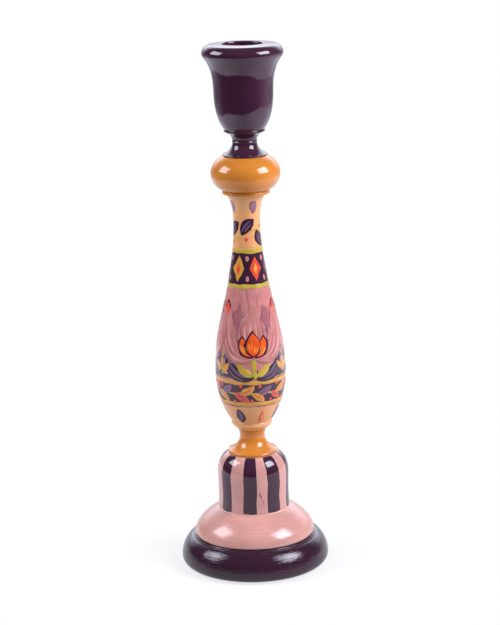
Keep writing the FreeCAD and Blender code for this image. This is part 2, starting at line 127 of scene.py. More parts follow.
# Brushed enamel: how far its tone strays, and spans and depths of its marks in millimetres
TONE_SPAN = (0.7, 1.3)
GLOSS_SPREAD = 0.1
WAVE_SPAN = 7.0
WAVE_DEPTH = 0.08
CLOUD_SPAN = 16.0
PLINTH_TONE = 0.75
HAIR_SCALE = (0.12, 2.0, 1.0)
HAIR_DEPTH = 0.03
POOL_SCALE = 0.2

# Beech, felt and zinc: spans and depths of their marks in millimetres, and shares of their colours
GRAIN_SPANS = (0.5, 0.5, 12.0)
GRAIN_DEPTH = 0.04
GRAIN_TONES = (0.5, 1.25)
FLECK_SPANS = (0.4, 0.4, 2.0)
FLECK_EDGE = (0.05, 0.3)
FLECK_TONES = (0.5, 1.0)
FIBRE_SPAN = 0.6
FIBRE_DEPTH = 0.25
FIBRE_TONES = (0.55, 1.6)
MARK_SPAN = 0.8
MARK_DEPTH = 0.01
MARK_TONES = (0.8, 1.1)
ZINC_ROUGHNESS = (0.25, 0.45)

# How thick a coat of hand-laid paint is, and how far its edge dips into the coat below
COAT = 0.035 * MM
COAT_EDGE = 0.07 * MM
COAT_BODY = 0.3 * MM

# How a brush shakes, in millimetres along its way, and seeds that keep one shake apart from another
LOOK_AHEAD = 0.01
SEEDS = (0, 100)
LEFT_SEED = 3
QUICK_SEED = 5
LEAN_SEED = 7
SLOW_SPAN = 5.0
QUICK_SPAN = 1.6
STROKE_WOBBLE = 0.12
LINE_WOBBLE = 0.05
BAND_WOBBLE = 0.2
RING_SPAN = 4.0
RING_REACH = 3.0
RING_ROW = 1.5
RING_LEAST_ROWS = 4
UPRIGHT_SPAN = 7 * MM
LEAN_SPAN = 22 * MM
FRAY_TEETH = 1.5
FRAY_DEPTH = 0.8 * MM
UPRIGHT_RADIUS = 20

# How flat a coat lies before its edge dips, as powers across and along the stroke
STROKE_CROWN = (4, 10)
UPRIGHT_CROWN = (8, 30)

# Foot and tip of a brush stroke, as the powers that shape its width
LEAF_ENDS = ((2.0, 1.0), (2.0, 1.0))
ROUND_ENDS = ((2.0, 2.0), (2.0, 2.0))
LOZENGE_ENDS = ((1.0, 1.0), (1.0, 1.0))
BLUNT_ENDS = ((7.0, 3.0), (7.0, 3.0))
BUD_ENDS = ((2.0, 2.0), (2.0, 1.0))
DROP_ENDS = ((2.0, 1.0), (2.0, 2.0))


class Layer(NamedTuple):
    """One stroke of a motif, in millimetres: its colour, coat and shape, and where it runs beside its way."""

    colour: str
    width: float = 0.0
    coat: int = 1
    belly: float = 0.5
    steps: int = 16
    rows: int = 6
    shift: float = 0.0
    part: tuple = (0.0, 1.0)
    ends: tuple = LEAF_ENDS

    def over(self, coats, colour=None):
        """The same stroke so many coats higher, in another colour where that is given."""
        return self._replace(coat=self.coat + coats, colour=colour or self.colour)


# Painted highlight along the cushion's foot: a pale line that stands in for light caught by its rounded edge
CUSHION_HIGHLIGHT_RISE = 0.35 * MM
CUSHION_HIGHLIGHT_WIDTH = 0.6

# Stripes of the drum: how far each strays from an even spacing, as a share of the spacing, how its width
# and its foot stray, and two slips of the brush in millimetres up from the crease
STRIPE_DRIFT_SHARES = (0.0, 0.01, -0.09, -0.11, -0.06, -0.03, 0.02, 0.0)
STRIPE_WIDTH_SHARES = (0.92, 1.04)
STRIPE_FOOT_SLIPS = (0, 0.6 * MM)
SLIP_ANGLE = math.radians(12)
BRUSH_SLIPS = (
    (((-0.9, 14.2), (-0.6, 11.5), (0.5, 9.6)), Layer("mauve", 1.5, rows=4)),
    (((0.8, 9.0), (1.4, 7.4), (1.6, 6.0)), Layer("rose", 0.8, rows=4)))

# Ring of leaves. Each handle of a leaf and its vein is millimetres across and up, and a share of the height
LEAF_RING_START = 0.5
LEAF_RING_STRAY = 0.1
LEAF_RING_LEAN = 0.2
LEAF_RING_WAYS = (
    ((-0.6, 0.0, 0.0), (0.8, 0.0, 0.5), (0.0, 0.0, 1.0)),
    ((-0.2, 1.5, 0.0), (1.0, 0.0, 0.5), (0.3, 0.0, 0.85)))
LEAF_RING_KINDS = (
    (0.85, Layer("coral", 3.6, 1, 0.42, 22, 8), Layer("apricot", 1.4, 2, 0.4, 14, 4)),
    (1.0, Layer("aubergine", 7.0, 1, 0.42, 22, 8), Layer("slate", 2.2, 2, 0.4, 14, 4)))

# Laurel band. An edge line has a colour, millimetres beyond the band, a width, a coat and a wobble
WREATH_EDGES = (("honey", 0.1, 2.0, 4, 0.16), ("mauve", 1.5, 0.7, 3, 0.14))
WREATH_STEM_WIDTH = 0.9
WREATH_STRAY = 0.08
WREATH_LEAN = 0.1
WREATH_UPPER_TURN = 0.2
WREATH_SCALES = (0.92, 1.08)
WREATH_COLOURS = (("honey", "flame"), ("mauve", "slate"), ("coral", "mauve"))
WREATH_LEAF = ((0.0, 0.3), (2.6, 0.6), (6.6, 2.2), (8.0, 5.4))
WREATH_LEAF_LAYERS = (
    Layer("honey", 4.3, 3, 0.48, 20, 8), Layer("flame", 1.0, 5, 0.5, 12, 3, 0.2, (0.1, 0.85)))
WREATH_BERRY = (0.6, 4.6)
WREATH_BERRY_LAYER = Layer("coral", 1.8, 3, 0.5, 7, 4, ends=ROUND_ENDS)

# Pink ground: its dark foot, its top line, its broad strokes and its loose streaks
GROUND_FOOT = 2.5 * MM
GROUND_FOOT_WIDTH = 7.0
GROUND_TOP = 3 * MM
GROUND_TOP_WIDTH = 6.0
GROUND_FOOT_SLIPS = (0.5 * MM, 3.5 * MM)
GROUND_TOP_SLIPS = (0, 2 * MM)
GROUND_SPREAD = 0.66
GROUND_STREAKS = 60
STREAK_LEVELS = (0.1, 0.75)
STREAK_LEAN = 0.12
STREAK_RUNS = (6, 12)
STREAK_BEND = 0.8
STREAK_WIDTHS = (0.6, 1.2)
STREAK_COLOURS = ("rose", "blush", "mauve")

# Tulips, in millimetres from a flower's foot. A flower is drawn so tall before it is scaled
TULIP_UNITS = 26
TULIP_LEAN = 0.05
TULIP_STEM = (((0.5, -9.6), (-0.6, -5.0), (0.0, 1.0)), (Layer("olive", 2.2, 7, ends=BLUNT_ENDS),))
TULIP_LEAVES = (
    (((0.4, -9.4), (6.5, -10.5), (14.5, -7.0), (14.6, 5.0)), (
        Layer("aubergine", 6.4, 5, 0.42, 26, 8),
        Layer("slate", 2.0, 6, 0.45, 20, 4, 1.0, (0.12, 0.9)),
        Layer("mauve", 0.9, 6, 0.5, 16, 3, -1.3, (0.2, 0.75)))),
    (((0.3, -8.0), (3.0, -8.4), (7.4, -5.5), (8.0, 0.5)), (
        Layer("olive", 3.6, 7, 0.45, 20),
        Layer("honey", 1.0, 8, 0.5, 12, 3, 0.3, (0.15, 0.8)))))

# Petals of a tulip: handles, width, coat, colour and number of streaks. A streak has spans for its start,
# its run and its width
TULIP_SIDE_PETALS = (
    (((1.0, 1.0), (7.5, 6.0), (9.0, 17.0), (5.0, 26.0)), 8.0, 7, "rose", 5),
    (((0.0, 0.0), (13.5, -1.0), (15.0, 13.0), (9.8, 24.5)), 9.8, 9, "petal", 9))
TULIP_FRONT_PETAL = (((0.0, -0.4), (0.0, 12.0), (0.0, 24.5)), 13.6, 12, "petal", 13)
PETAL_LAYER = Layer("petal", belly=0.42, steps=30, rows=10)
PETAL_EDGE = 1.6
PETAL_STREAK = Layer("rose", coat=2, belly=0.4, steps=16, rows=3)
PETAL_STREAK_COLOURS = ("rose", "blush", "petal")
PETAL_STREAK_SPREAD = 0.43
PETAL_STREAK_SPANS = ((0.03, 0.3), (0.35, 0.6), (0.7, 1.4))

# Inner petals of a tulip: lean, height, width and coat. A handle is a share of the lean, millimetres up
# and a share of the height
HEART_PETALS = ((-5.0, 11.5, 5.0, 15), (5.0, 11.5, 5.0, 15), (0.0, 14.0, 6.4, 18))
HEART_WAY = ((0.1, 0.6, 0.0), (1.1, 0.0, 0.4), (1.0, 0.0, 1.0))
HEART_LAYER = Layer("flame", belly=0.45, steps=22, rows=8, part=(0.07, 0.93))
HEART_EDGE = 1.8
HEART_DAB = Layer("apricot", coat=2, steps=10, rows=3)
HEART_DABS = 4
HEART_DAB_SPREAD = 0.2
HEART_DAB_SPANS = ((0.15, 0.35), (0.25, 0.5), (0.5, 0.9))

# Sprigs between the tulips. A leaf's handle is millimetres across, a share of its reach, and millimetres up
SPRIG_LEAN = 0.04
SPRIG_STEM = (
    ((0.0, -10.0), (1.4, -2.0), (-1.4, 8.0), (0.0, 21.0)),
    (Layer("olive", 1.2, 5, steps=24, rows=4, ends=BLUNT_ENDS),))
SPRIG_PAIRS = 4
SPRIG_FIRST_PAIR = -7
SPRIG_PAIR_GAP = 6.6
SPRIG_REACH = 5.6
SPRIG_TAPER = 0.6
SPRIG_LEAF = ((0.2, 0.0, 0.0), (0.0, 0.7, 0.5), (0.0, 1.0, 5.0))
SPRIG_LEAF_LAYERS = (Layer("honey", 3.2, 6), Layer("slate", 3.2, 6))
SPRIG_BUD = (
    (((0.0, 19.0), (0.0, 32.5)), Layer("aubergine", 7.2, 6, 0.4, 20, 8, ends=BUD_ENDS)),
    (((0.0, 20.4), (0.0, 31.4)), Layer("coral", 5.4, 7, 0.4, 20, 8, ends=BUD_ENDS)),
    (((-0.6, 21.6), (-1.3, 24.0), (-0.4, 28.6)), Layer("apricot", 1.1, 8, steps=10, rows=3)))

# Lozenges of the upper band and the dabs between them, in millimetres from the band's middle
LOZENGE_EDGES = (("olive", -1.4, 2.3, 4, 0.16),)
LOZENGE_START = 0.4
LOZENGE_STRAY = 0.06
LOZENGE_LEAN = 0.06
LOZENGE_SHRINK = 0.1
LOZENGE_COLOURS = (("coral", "apricot"), ("mauve", "slate"), ("honey", "coral"))
LOZENGE = (
    (((0.0, -7.6), (0.0, 7.6)), Layer("coral", 7.4, 5, 0.5, 24, 8, ends=LOZENGE_ENDS)),
    (((0.0, -3.8), (0.0, 3.8)), Layer("apricot", 3.0, 6, 0.5, 16, 4, ends=LOZENGE_ENDS)))
LOZENGE_DABS = (-5.6, 5.6)
LOZENGE_DAB_LAYER = Layer("petal", 1.9, 5, 0.5, 7, 4, ends=ROUND_ENDS)

# Vine round the neck, its leaves and berries, and the ring of drops at its top
VINE_FIRST = math.radians(-120)
VINE_TURN = math.radians(330)
VINE_SWAY = 0.8
VINE_SWAYS = 6 * math.pi
VINE_LAYER = Layer("olive", 1.2, steps=90, rows=4, ends=BLUNT_ENDS)
VINE_LEAVES = 5
VINE_LEAN = 0.15
VINE_LEAF = (
    ((0.0, 0.0), (0.6, 4.0), (4.4, 7.4), (7.4, 9.0)), (
        Layer("aubergine", 6.8, 2, 0.48, 24, 8),
        Layer("slate", 1.4, 3, 0.5, 16, 4, 0.9, (0.12, 0.85)),
        Layer("mauve", 0.9, 3, 0.5, 14, 3, -1.0, (0.2, 0.75))))
VINE_BERRY = (2.2, -2.0)
VINE_BERRY_LAYER = Layer("coral", 1.9, 2, 0.5, 7, 4, ends=ROUND_ENDS)
DROPS = 4
DROP_START = 0.25
DROP_STRAY = 0.06
DROP_RISE = 16 * MM
DROP = (
    ((0.0, 0.0), (0.3, 4.0), (0.0, 8.4)), (
        Layer("aubergine", 5.4, 1, 0.6, 22, 8, ends=DROP_ENDS),
        Layer("mauve", 4.6, 2, 0.6, 20, 8, 0.0, (0.05, 0.95), DROP_ENDS),
        Layer("rose", 1.2, 3, 0.5, 12, 3, 0.8, (0.3, 0.8))))

# Camera and lamps
AIM_Z = 150 * MM
LENS = 113.57
SENSOR_WIDTH = 36
CLIP_END = 20
CAMERA_SIDE = 0.5 * MM
SOFTBOX_SHARE = 0.95
LEFT_PLACE = (-0.55, -0.05, 0.53)
RIGHT_PLACE = (0.58, -0.25, 0.575)
WHITE = (1.0, 1.0, 1.0, 1.0)
COOL_WHITE = "F0F4FF"

# The room as gloss mirrors it: bright behind, brighter still from above, and dark towards the camera
ROOM_DARK = 0.05
ROOM_DIRECTION = (0.05, 1.0, 0.0)
ROOM_SPREAD = (0.5, 0.95)
CEILING_GAIN = 3.4
CEILING_SPREAD = (0.05, 0.35)

# The white sheet as gloss mirrors it: a painted glow, brighter beside the stick where lamp light would fall
# on paper, and dimmer far behind and beyond its front edge
TABLE_SIDE = 8.0
TABLE_DROP = 0.2 * MM
SHEET_SIDE_SHARE = 0.65
SHEET_SHIFT = 115 * MM
SHEET_EDGE = 40 * MM
SHEET_DARK = 0.03
SHEET_DIRECTION = (0.3, 1.0, 0.0)
SHEET_SPREAD = (-0.5, 0.8)
SHEET_SIDE_GLOW_GAIN = 1.6
SHEET_SIDE_SPREAD = (0.05, 0.3)
SHEET_BACK_GAIN = 0.5
SHEET_BACK_SPREAD = (0.5, 0.85)

# The white sheet as the camera sees it, where the stick's shadow fades out, and as soft light leaves it
SHADOW_SPREAD = (0.04, 0.09)
SHADOW_FADE = 0.75
PAPER_GREY = (0.8, 0.8, 0.8, 1.0)
BOUNCE_GREY = (0.6, 0.6, 0.6, 1.0)


def linear(hex_colour):
    """Turns an sRGB hex colour into linear red, green, blue and alpha."""
    levels = [int(hex_colour[i:i + 2], 16) / 255 for i in (0, 2, 4)]
    return tuple(c / 12.92 if c <= 0.04045 else ((c + 0.055) / 1.055) ** 2.4 for c in levels) + (1.0,)


def length(name, description, millimetres):
    """A size that a user can change, with its default in millimetres."""
    return bpy.props.FloatProperty(
        name=name, description=description, default=millimetres * MM, min=0.0, precision=5, unit="LENGTH")


def turn(name, description, degrees):
    """An angle that a user can change, with its default in degrees."""
    return bpy.props.FloatProperty(
        name=name, description=description, default=math.radians(degrees), unit="ROTATION")


def count(name, description, number):
    """A number of like things that a user can change."""
    return bpy.props.IntProperty(name=name, description=description, default=number, min=1)


def level(name, description, value):
    """A plain factor that a user can change."""
    return bpy.props.FloatProperty(name=name, description=description, default=value, min=0.0)


def paint(name, description, hex_colour):
    """A colour that a user can change, with its default as sRGB hex."""
    return bpy.props.FloatVectorProperty(
        name=name, description=description, default=linear(hex_colour), size=4, min=0.0, max=1.0,
        subtype="COLOR")


class PlinthSizes(bpy.types.PropertyGroup):
    """Sizes of the dark foot ring."""

    radius: length("Radius", "Widest radius of the foot ring", 42.0)
    toe_inset: length("Toe Inset", "How far the foot tucks in at the table", 3.0)
    toe_height: length("Toe Height", "Height of the tucked foot", 4.0)
    ovolo_height: length("Ovolo Height", "Height of the round shoulder", 11.6)
    ovolo_width: length("Ovolo Width", "How far the round shoulder draws in", 6.6)
    lip_inset: length("Lip Inset", "Width of the step under the top lip", 0.6)
    lip_round: length("Lip Round", "Rounding of the lip's top corner", 0.5)


class CushionSizes(bpy.types.PropertyGroup):
    """Sizes of the pink domed ring."""

    radius: length("Radius", "Widest radius of the domed ring", 33.9)
    toe_inset: length("Toe Inset", "How far the ring tucks in at the plinth", 0.6)
    toe_height: length("Toe Height", "Height of the tucked foot", 1.0)
    dark_toe: length("Dark Toe", "How far the dark enamel reaches up over the foot", 0.3)
    top_radius: length("Top Radius", "Radius of the crease under the striped drum", 20.1)
    spigot_radius: length("Spigot Radius", "Radius of the spigot in the plinth", 22.0)


class DomeSizes(bpy.types.PropertyGroup):
    """Sizes of the striped drum."""

    crease_radius: length("Crease Radius", "Radius at the foot", 20.1)
    waist_radius: length("Waist Radius", "Radius a third of the way up", 19.85)
    shoulder_radius: length("Shoulder Radius", "Radius where the shoulder starts", 20.0)
    top_radius: length("Top Radius", "Radius under the spool", 13.8)
    foot_height: length("Foot Height", "Height from the crease to the waist", 9.0)
    body_height: length("Body Height", "Height from the waist to the shoulder", 12.8)
    spigot_radius: length("Spigot Radius", "Radius of the spigot in the cushion", 12.0)


class CollarSizes(bpy.types.PropertyGroup):
    """Sizes of the ochre spool under the baluster."""

    flange_radius: length("Flange Radius", "Radius of the wide foot", 14.1)
    toe_inset: length("Toe Inset", "How far the flange tucks in below", 0.4)
    toe_height: length("Toe Height", "Height of the flange's lower round", 0.6)
    edge_inset: length("Edge Inset", "How far the flange draws in above", 0.7)
    edge_height: length("Edge Height", "Height of the flange's upper round", 0.9)
    cove_height: length("Cove Height", "Height of the hollow", 7.6)
    neck_wall: length("Neck Wall", "Wood around the dowel at the neck", 2.9)
    flare_width: length("Flare Width", "How far the top flares out", 1.5)


class BalusterSizes(bpy.types.PropertyGroup):
    """Sizes of the long vase-shaped stem."""

    foot_radius: length("Foot Radius", "Radius where the bead starts", 8.5)
    bead_width: length("Bead Width", "How far the bead swells", 3.0)
    bead_height: length("Bead Height", "Height of the bead's swell", 3.3)
    quirk_depth: length("Quirk Depth", "Depth of the groove above the bead", 0.35)
    quirk_height: length("Quirk Height", "Height from the bead to the groove", 1.4)
    belly_radius: length("Belly Radius", "Widest radius of the vase", 19.6)
    belly_height: length("Belly Height", "Height from the groove to the widest place", 27.9)
    taper_height: length("Taper Height", "Height from the widest place to the neck", 85.0)
    neck_wall: length("Neck Wall", "Wood around the dowel at the neck", 3.3)
    flare_width: length("Flare Width", "How far the top flares out", 3.8)


class KnopSizes(bpy.types.PropertyGroup):
    """Sizes of the ochre bun."""

    radius: length("Radius", "Widest radius of the bun", 19.15)
    fillet_radius: length("Fillet Radius", "Radius of the thin ring below", 13.2)
    fillet_height: length("Fillet Height", "Height of the thin ring", 1.8)
    fillet_round: length("Fillet Round", "Rounding of the thin ring's corners", 0.5)
    quirk_inset: length("Quirk Inset", "Depth of the groove above the ring", 0.5)
    quirk_height: length("Quirk Height", "Height of the groove", 0.4)
    bulge_height: length("Bulge Height", "Height from the groove to the widest place", 9.6)
    top_radius: length("Top Radius", "Radius under the cup's foot", 11.8)


class CupSizes(bpy.types.PropertyGroup):
    """Sizes of the dark cup with its candle socket."""

    foot_radius: length("Foot Radius", "Radius of the thin foot", 12.45)
    foot_edge: length("Foot Edge", "Height of the foot's upright edge", 0.5)
    cove_height: length("Cove Height", "Height of the hollow above the foot", 6.7)
    neck_wall: length("Neck Wall", "Wood around the dowel at the neck", 2.65)
    ring_proud: length("Ring Proud", "How far the neck ring stands out", 0.25)
    ring_height: length("Ring Height", "Height of the neck ring", 0.8)
    throat_height: length("Throat Height", "Height of the flare above the ring", 3.7)
    throat_width: length("Throat Width", "How far the throat flares out", 1.6)
    undercut: length("Undercut", "Height of the slope under the ledge", 1.3)
    ledge_radius: length("Ledge Radius", "Radius of the thin ledge under the bowl", 11.3)
    ledge_height: length("Ledge Height", "Height of the ledge", 1.3)
    ledge_round: length("Ledge Round", "Rounding of the ledge's corners", 0.35)
    step_height: length("Step Height", "Height of the step above the ledge", 0.5)
    bowl_height: length("Bowl Height", "Height of the bowl's round bottom", 20.0)
    bowl_wall: length("Bowl Wall", "Wood around the socket", 5.1)
    rim_overhang: length("Rim Overhang", "How far the rim stands out from the bowl", 5.95)
    flare_height: length("Flare Height", "Height of the flare", 18.8)
    lip_under_height: length("Lip Under Height", "Height of the lip's lower round", 2.6)
    lip_under_width: length("Lip Under Width", "How far the lip's lower round draws in", 0.95)
    lip_height: length("Lip Height", "Height of the lip's upper round", 4.3)
    lip_width: length("Lip Width", "How far the lip's upper round draws in", 4.0)
    socket_radius: length("Socket Radius", "Radius of the candle socket", 11.25)
    socket_depth: length("Socket Depth", "Depth of the candle socket", 28.0)
    socket_round: length("Socket Round", "Rounding of the socket's mouth", 0.8)
    spur_radius: length("Spur Radius", "Radius of the drill's mark in the socket's floor", 1.5)
    spur_depth: length("Spur Depth", "Depth of the drill's mark", 1.2)


class StripeSizes(bpy.types.PropertyGroup):
    """The upright stripes that are brushed on the drum."""

    number: count("Number", "Stripes around the drum", 8)
    first: turn("First", "Where the first stripe stands, from the front", -51.0)
    width: turn("Width", "Width of a stripe", 25.0)
    foot_gap: length("Foot Gap", "Bare paint between a stripe and the crease", 0.0)
    # Painted highlight along the crease: its width
    crease_highlight: length("Crease Line", "Width of the pale line along the crease", 0.6)


class PaintingSizes(bpy.types.PropertyGroup):
    """The flowers, leaves and bands that are brushed on the baluster."""

    leaf_ring_z: length("Leaf Ring Level", "Foot of the ring of upright leaves", 85.0)
    leaf_ring_height: length("Leaf Ring Height", "Height of the upright leaves", 11.0)
    leaf_ring_number: count("Leaf Ring Number", "Upright leaves around the foot", 8)
    wreath_z: length("Wreath Level", "Middle of the laurel band", 104.0)
    wreath_height: length("Wreath Height", "Height of the laurel band", 13.0)
    wreath_number: count("Wreath Number", "Pairs of laurel leaves around the belly", 11)
    ground_z: length("Ground Level", "Foot of the pink ground behind the tulips", 113.0)
    ground_top_z: length("Ground Top", "Top of the pink ground", 164.0)
    ground_number: count("Ground Number", "Broad upright strokes of the ground", 16)
    tulip_z: length("Tulip Level", "Foot of the tulip flowers", 124.0)
    tulip_height: length("Tulip Height", "Height of a tulip flower", 30.0)
    tulip_number: count("Tulip Number", "Tulips around the baluster", 3)
    tulip_first: turn("First Tulip", "Where the first tulip stands, from the front", 6.0)
    lozenge_z: length("Lozenge Level", "Middle of the lozenge band", 173.0)
    lozenge_height: length("Lozenge Height", "Height of the lozenge band", 22.0)
    lozenge_number: count("Lozenge Number", "Lozenges around the upper stem", 6)
    vine_z: length("Vine Level", "Foot of the climbing vine", 187.0)
    vine_height: length("Vine Height", "How far the vine climbs", 15.0)


class PaintColours(bpy.types.PropertyGroup):
    """Colours of the enamels."""

    aubergine: paint("Aubergine", "Dark enamel of plinth, cup and stripes", "3A1B2F")
    pink: paint("Pink", "Enamel of the cushion and the drum", "C99188")
    ochre: paint("Ochre", "Enamel of the spool and the bun", "C5782A")
    peach: paint("Peach", "Ground of the baluster", "DC9B66")
    petal: paint("Petal", "Dusty pink of the petals", "BE7975")
    # Painted highlight: the pale line in the drum's crease stands in for light caught by a paint fillet there
    cream: paint("Cream", "Pale line where two coats of pink meet", "F2CDB8")
    rose: paint("Rose", "Darker streaks of the petals", "A26064")
    # Blush also paints the highlight along the cushion's foot
    blush: paint("Blush", "Lighter streaks of the petals", "D6988F")
    mauve: paint("Mauve", "Streaks and small leaves", "84566A")
    slate: paint("Slate", "Grey violet of the leaves", "5C4E6A")
    coral: paint("Coral", "Buds, berries and lozenges", "DD4A33")
    flame: paint("Flame", "Hearts of the flowers", "E4541C")
    apricot: paint("Apricot", "Light dabs in the hearts", "F39A3E")
    olive: paint("Olive", "Stems and ring lines", "B89E3A")
    honey: paint("Honey", "Light leaves and band edges", "CC9238")
    stain: paint("Stain", "Thin reddish stain in the socket", "5A1F22")
    beech: paint("Beech", "Bare wood of the dowels", "D8B184")
    felt: paint("Felt", "Felt under the foot", "3B3A3D")
    zinc: paint("Zinc", "Zinc plating of screw and washer", "C4C8CC")


class StudioSettings(bpy.types.PropertyGroup):
    """Camera, lamps and table."""

    camera_distance: length("Camera Distance", "How far in front the camera stands", 1068.0)
    camera_height: length("Camera Height", "Height of the camera above the table", 414.0)
    camera_pitch: turn("Camera Pitch", "How far the camera looks down", 14.09)
    camera_roll: turn("Camera Roll", "How far the camera leans to the side", 1.5)
    left_width: length("Left Width", "Width of the left softbox", 360.0)
    left_power: level("Left Power", "Power of the left softbox in watts", 4.2)
    right_width: length("Right Width", "Width of the right softbox", 420.0)
    right_power: level("Right Power", "Power of the right softbox in watts", 8.8)
    fill: level("Fill", "Brightness of the room that lights the object", 0.24)
    sheet_reach: length("Sheet Reach", "How far the white sheet reaches to the front and the sides", 400.0)


class CandlestickSettings(bpy.types.PropertyGroup):
    """All settings of the candlestick."""

    plinth: bpy.props.PointerProperty(name="Plinth", type=PlinthSizes)
    cushion: bpy.props.PointerProperty(name="Cushion", type=CushionSizes)
    dome: bpy.props.PointerProperty(name="Dome", type=DomeSizes)
    collar: bpy.props.PointerProperty(name="Collar", type=CollarSizes)
    baluster: bpy.props.PointerProperty(name="Baluster", type=BalusterSizes)
    knop: bpy.props.PointerProperty(name="Knop", type=KnopSizes)
    cup: bpy.props.PointerProperty(name="Cup", type=CupSizes)
    stripes: bpy.props.PointerProperty(name="Stripes", type=StripeSizes)
    painting: bpy.props.PointerProperty(name="Painting", type=PaintingSizes)
    colours: bpy.props.PointerProperty(name="Colours", type=PaintColours)
    studio: bpy.props.PointerProperty(name="Studio", type=StudioSettings)


def add_node(tree, kind, inputs=None, **settings):
    """Adds a node with its settings. An input is a value, an output, or a node for its first output."""
    made = tree.nodes.new(kind)
    for name, value in settings.items():
        setattr(made, name, value)
    for key, value in (inputs or {}).items():
        if isinstance(value, bpy.types.Node):
            value = value.outputs[0]
        if isinstance(value, bpy.types.NodeSocket):
            tree.links.new(value, made.inputs[key])
        else:
            made.inputs[key].default_value = value
    return made


def new_material(name):
    """Starts an empty material and returns it with its node tree."""
    material = bpy.data.materials.new(name)
    material.use_nodes = True
    material.node_tree.nodes.clear()
    return material, material.node_tree


def toned(colour, share):
    """A colour made darker or lighter by a share."""
    return tuple(min(1.0, part * share) for part in colour[:3]) + (1.0,)


def scales(*spans):
    """Scale of a pattern with these spans in millimetres."""
    return [1 / (span * MM) for span in spans]


# Gloss enamel was brushed on while the wood turned. Brush hairs leave rings, and the coat is
# uneven over about 7 mm, so reflections have wavy, ragged edges.
def gloss_enamel(name, colour, rise=(0.0, 1.0), roughness=0.07, ring_gap=0.9, ring_run=25, ring_depth=0.012):
    """Gloss enamel on turned wood, its rings in millimetres. Rise says how radius and height add up."""
    material, tree = new_material(name)
    place = add_node(tree, "ShaderNodeTexCoord").outputs["Object"]
    parts = add_node(tree, "ShaderNodeSeparateXYZ", {0: place})
    flat = add_node(tree, "ShaderNodeVectorMath", {0: place, 1: (1.0, 1.0, 0.0)}, operation="MULTIPLY")
    radius = add_node(tree, "ShaderNodeVectorMath", {0: flat}, operation="LENGTH")
    inward = add_node(tree, "ShaderNodeMath", {0: radius.outputs["Value"], 1: rise[0]}, operation="MULTIPLY")
    climb = add_node(tree, "ShaderNodeMath", {0: parts.outputs["Z"], 1: rise[1], 2: inward},
                     operation="MULTIPLY_ADD")
    ring_place = add_node(tree, "ShaderNodeCombineXYZ", {
        "X": parts.outputs["X"], "Y": parts.outputs["Y"], "Z": climb})
    ring_scale = add_node(tree, "ShaderNodeVectorMath", {
        0: ring_place, 1: scales(ring_run, ring_run, ring_gap)}, operation="MULTIPLY")
    rings = add_node(tree, "ShaderNodeTexNoise", {
        "Vector": ring_scale, "Scale": 1.0, "Detail": 3.0, "Roughness": 0.6})
    waves = add_node(tree, "ShaderNodeTexNoise", {
        "Vector": place, "Scale": 1 / (WAVE_SPAN * MM), "Detail": 2.0, "Roughness": 0.5})
    cloud = add_node(tree, "ShaderNodeTexNoise", {
        "Vector": place, "Scale": 1 / (CLOUD_SPAN * MM), "Detail": 2.0, "Roughness": 0.5})
    tone = add_node(tree, "ShaderNodeMath", {0: rings, 1: cloud}, operation="ADD")
    spread = add_node(tree, "ShaderNodeMapRange", {
        "Value": tone, "From Min": TONE_SPAN[0], "From Max": TONE_SPAN[1]})
    shade = add_node(tree, "ShaderNodeMix", {
        0: spread, "A": toned(colour, 1 - GLOSS_SPREAD), "B": toned(colour, 1 + GLOSS_SPREAD)},
        data_type="RGBA")
    wave_bump = add_node(tree, "ShaderNodeBump", {
        "Height": waves, "Strength": 1.0, "Distance": WAVE_DEPTH * MM})
    ring_bump = add_node(tree, "ShaderNodeBump", {
        "Height": rings, "Strength": 1.0, "Distance": ring_depth * MM,
        "Normal": wave_bump})
    enamel = add_node(tree, "ShaderNodeBsdfPrincipled", {
        "Base Color": shade.outputs["Result"], "Roughness": roughness, "IOR": CLEAR_IOR,
        "Normal": ring_bump})
    add_node(tree, "ShaderNodeOutputMaterial", {"Surface": enamel})
    return material


# Artist's enamel was laid on by hand with a small round brush, so each stroke has long streaks
# along its way and pools of colour, and a softer shine than the ground.
def brushed_paint(name, colour, spread=0.2, roughness=0.2):
    """Hand-laid enamel whose streaks follow the stroke, on the stroke's own UV map in millimetres."""
    material, tree = new_material(name)
    place = add_node(tree, "ShaderNodeUVMap", uv_map="stroke")
    hairs = add_node(tree, "ShaderNodeMapping", {"Vector": place, "Scale": HAIR_SCALE})
    streaks = add_node(tree, "ShaderNodeTexNoise", {
        "Vector": hairs, "Scale": 1.0, "Detail": 3.0, "Roughness": 0.6})
    pools = add_node(tree, "ShaderNodeTexNoise", {
        "Vector": place, "Scale": POOL_SCALE, "Detail": 2.0, "Roughness": 0.5})
    both = add_node(tree, "ShaderNodeMath", {0: streaks, 1: pools}, operation="ADD")
    tone = add_node(tree, "ShaderNodeMapRange", {
        "Value": both, "From Min": TONE_SPAN[0], "From Max": TONE_SPAN[1]})
    shade = add_node(tree, "ShaderNodeMix", {
        0: tone, "A": toned(colour, 1 - spread), "B": toned(colour, 1 + spread)}, data_type="RGBA")
    bump = add_node(tree, "ShaderNodeBump", {
        "Height": streaks, "Strength": 1.0, "Distance": HAIR_DEPTH * MM})
    enamel = add_node(tree, "ShaderNodeBsdfPrincipled", {
        "Base Color": shade.outputs["Result"], "Roughness": roughness, "IOR": CLEAR_IOR, "Normal": bump})
    add_node(tree, "ShaderNodeOutputMaterial", {"Surface": enamel})
    return material


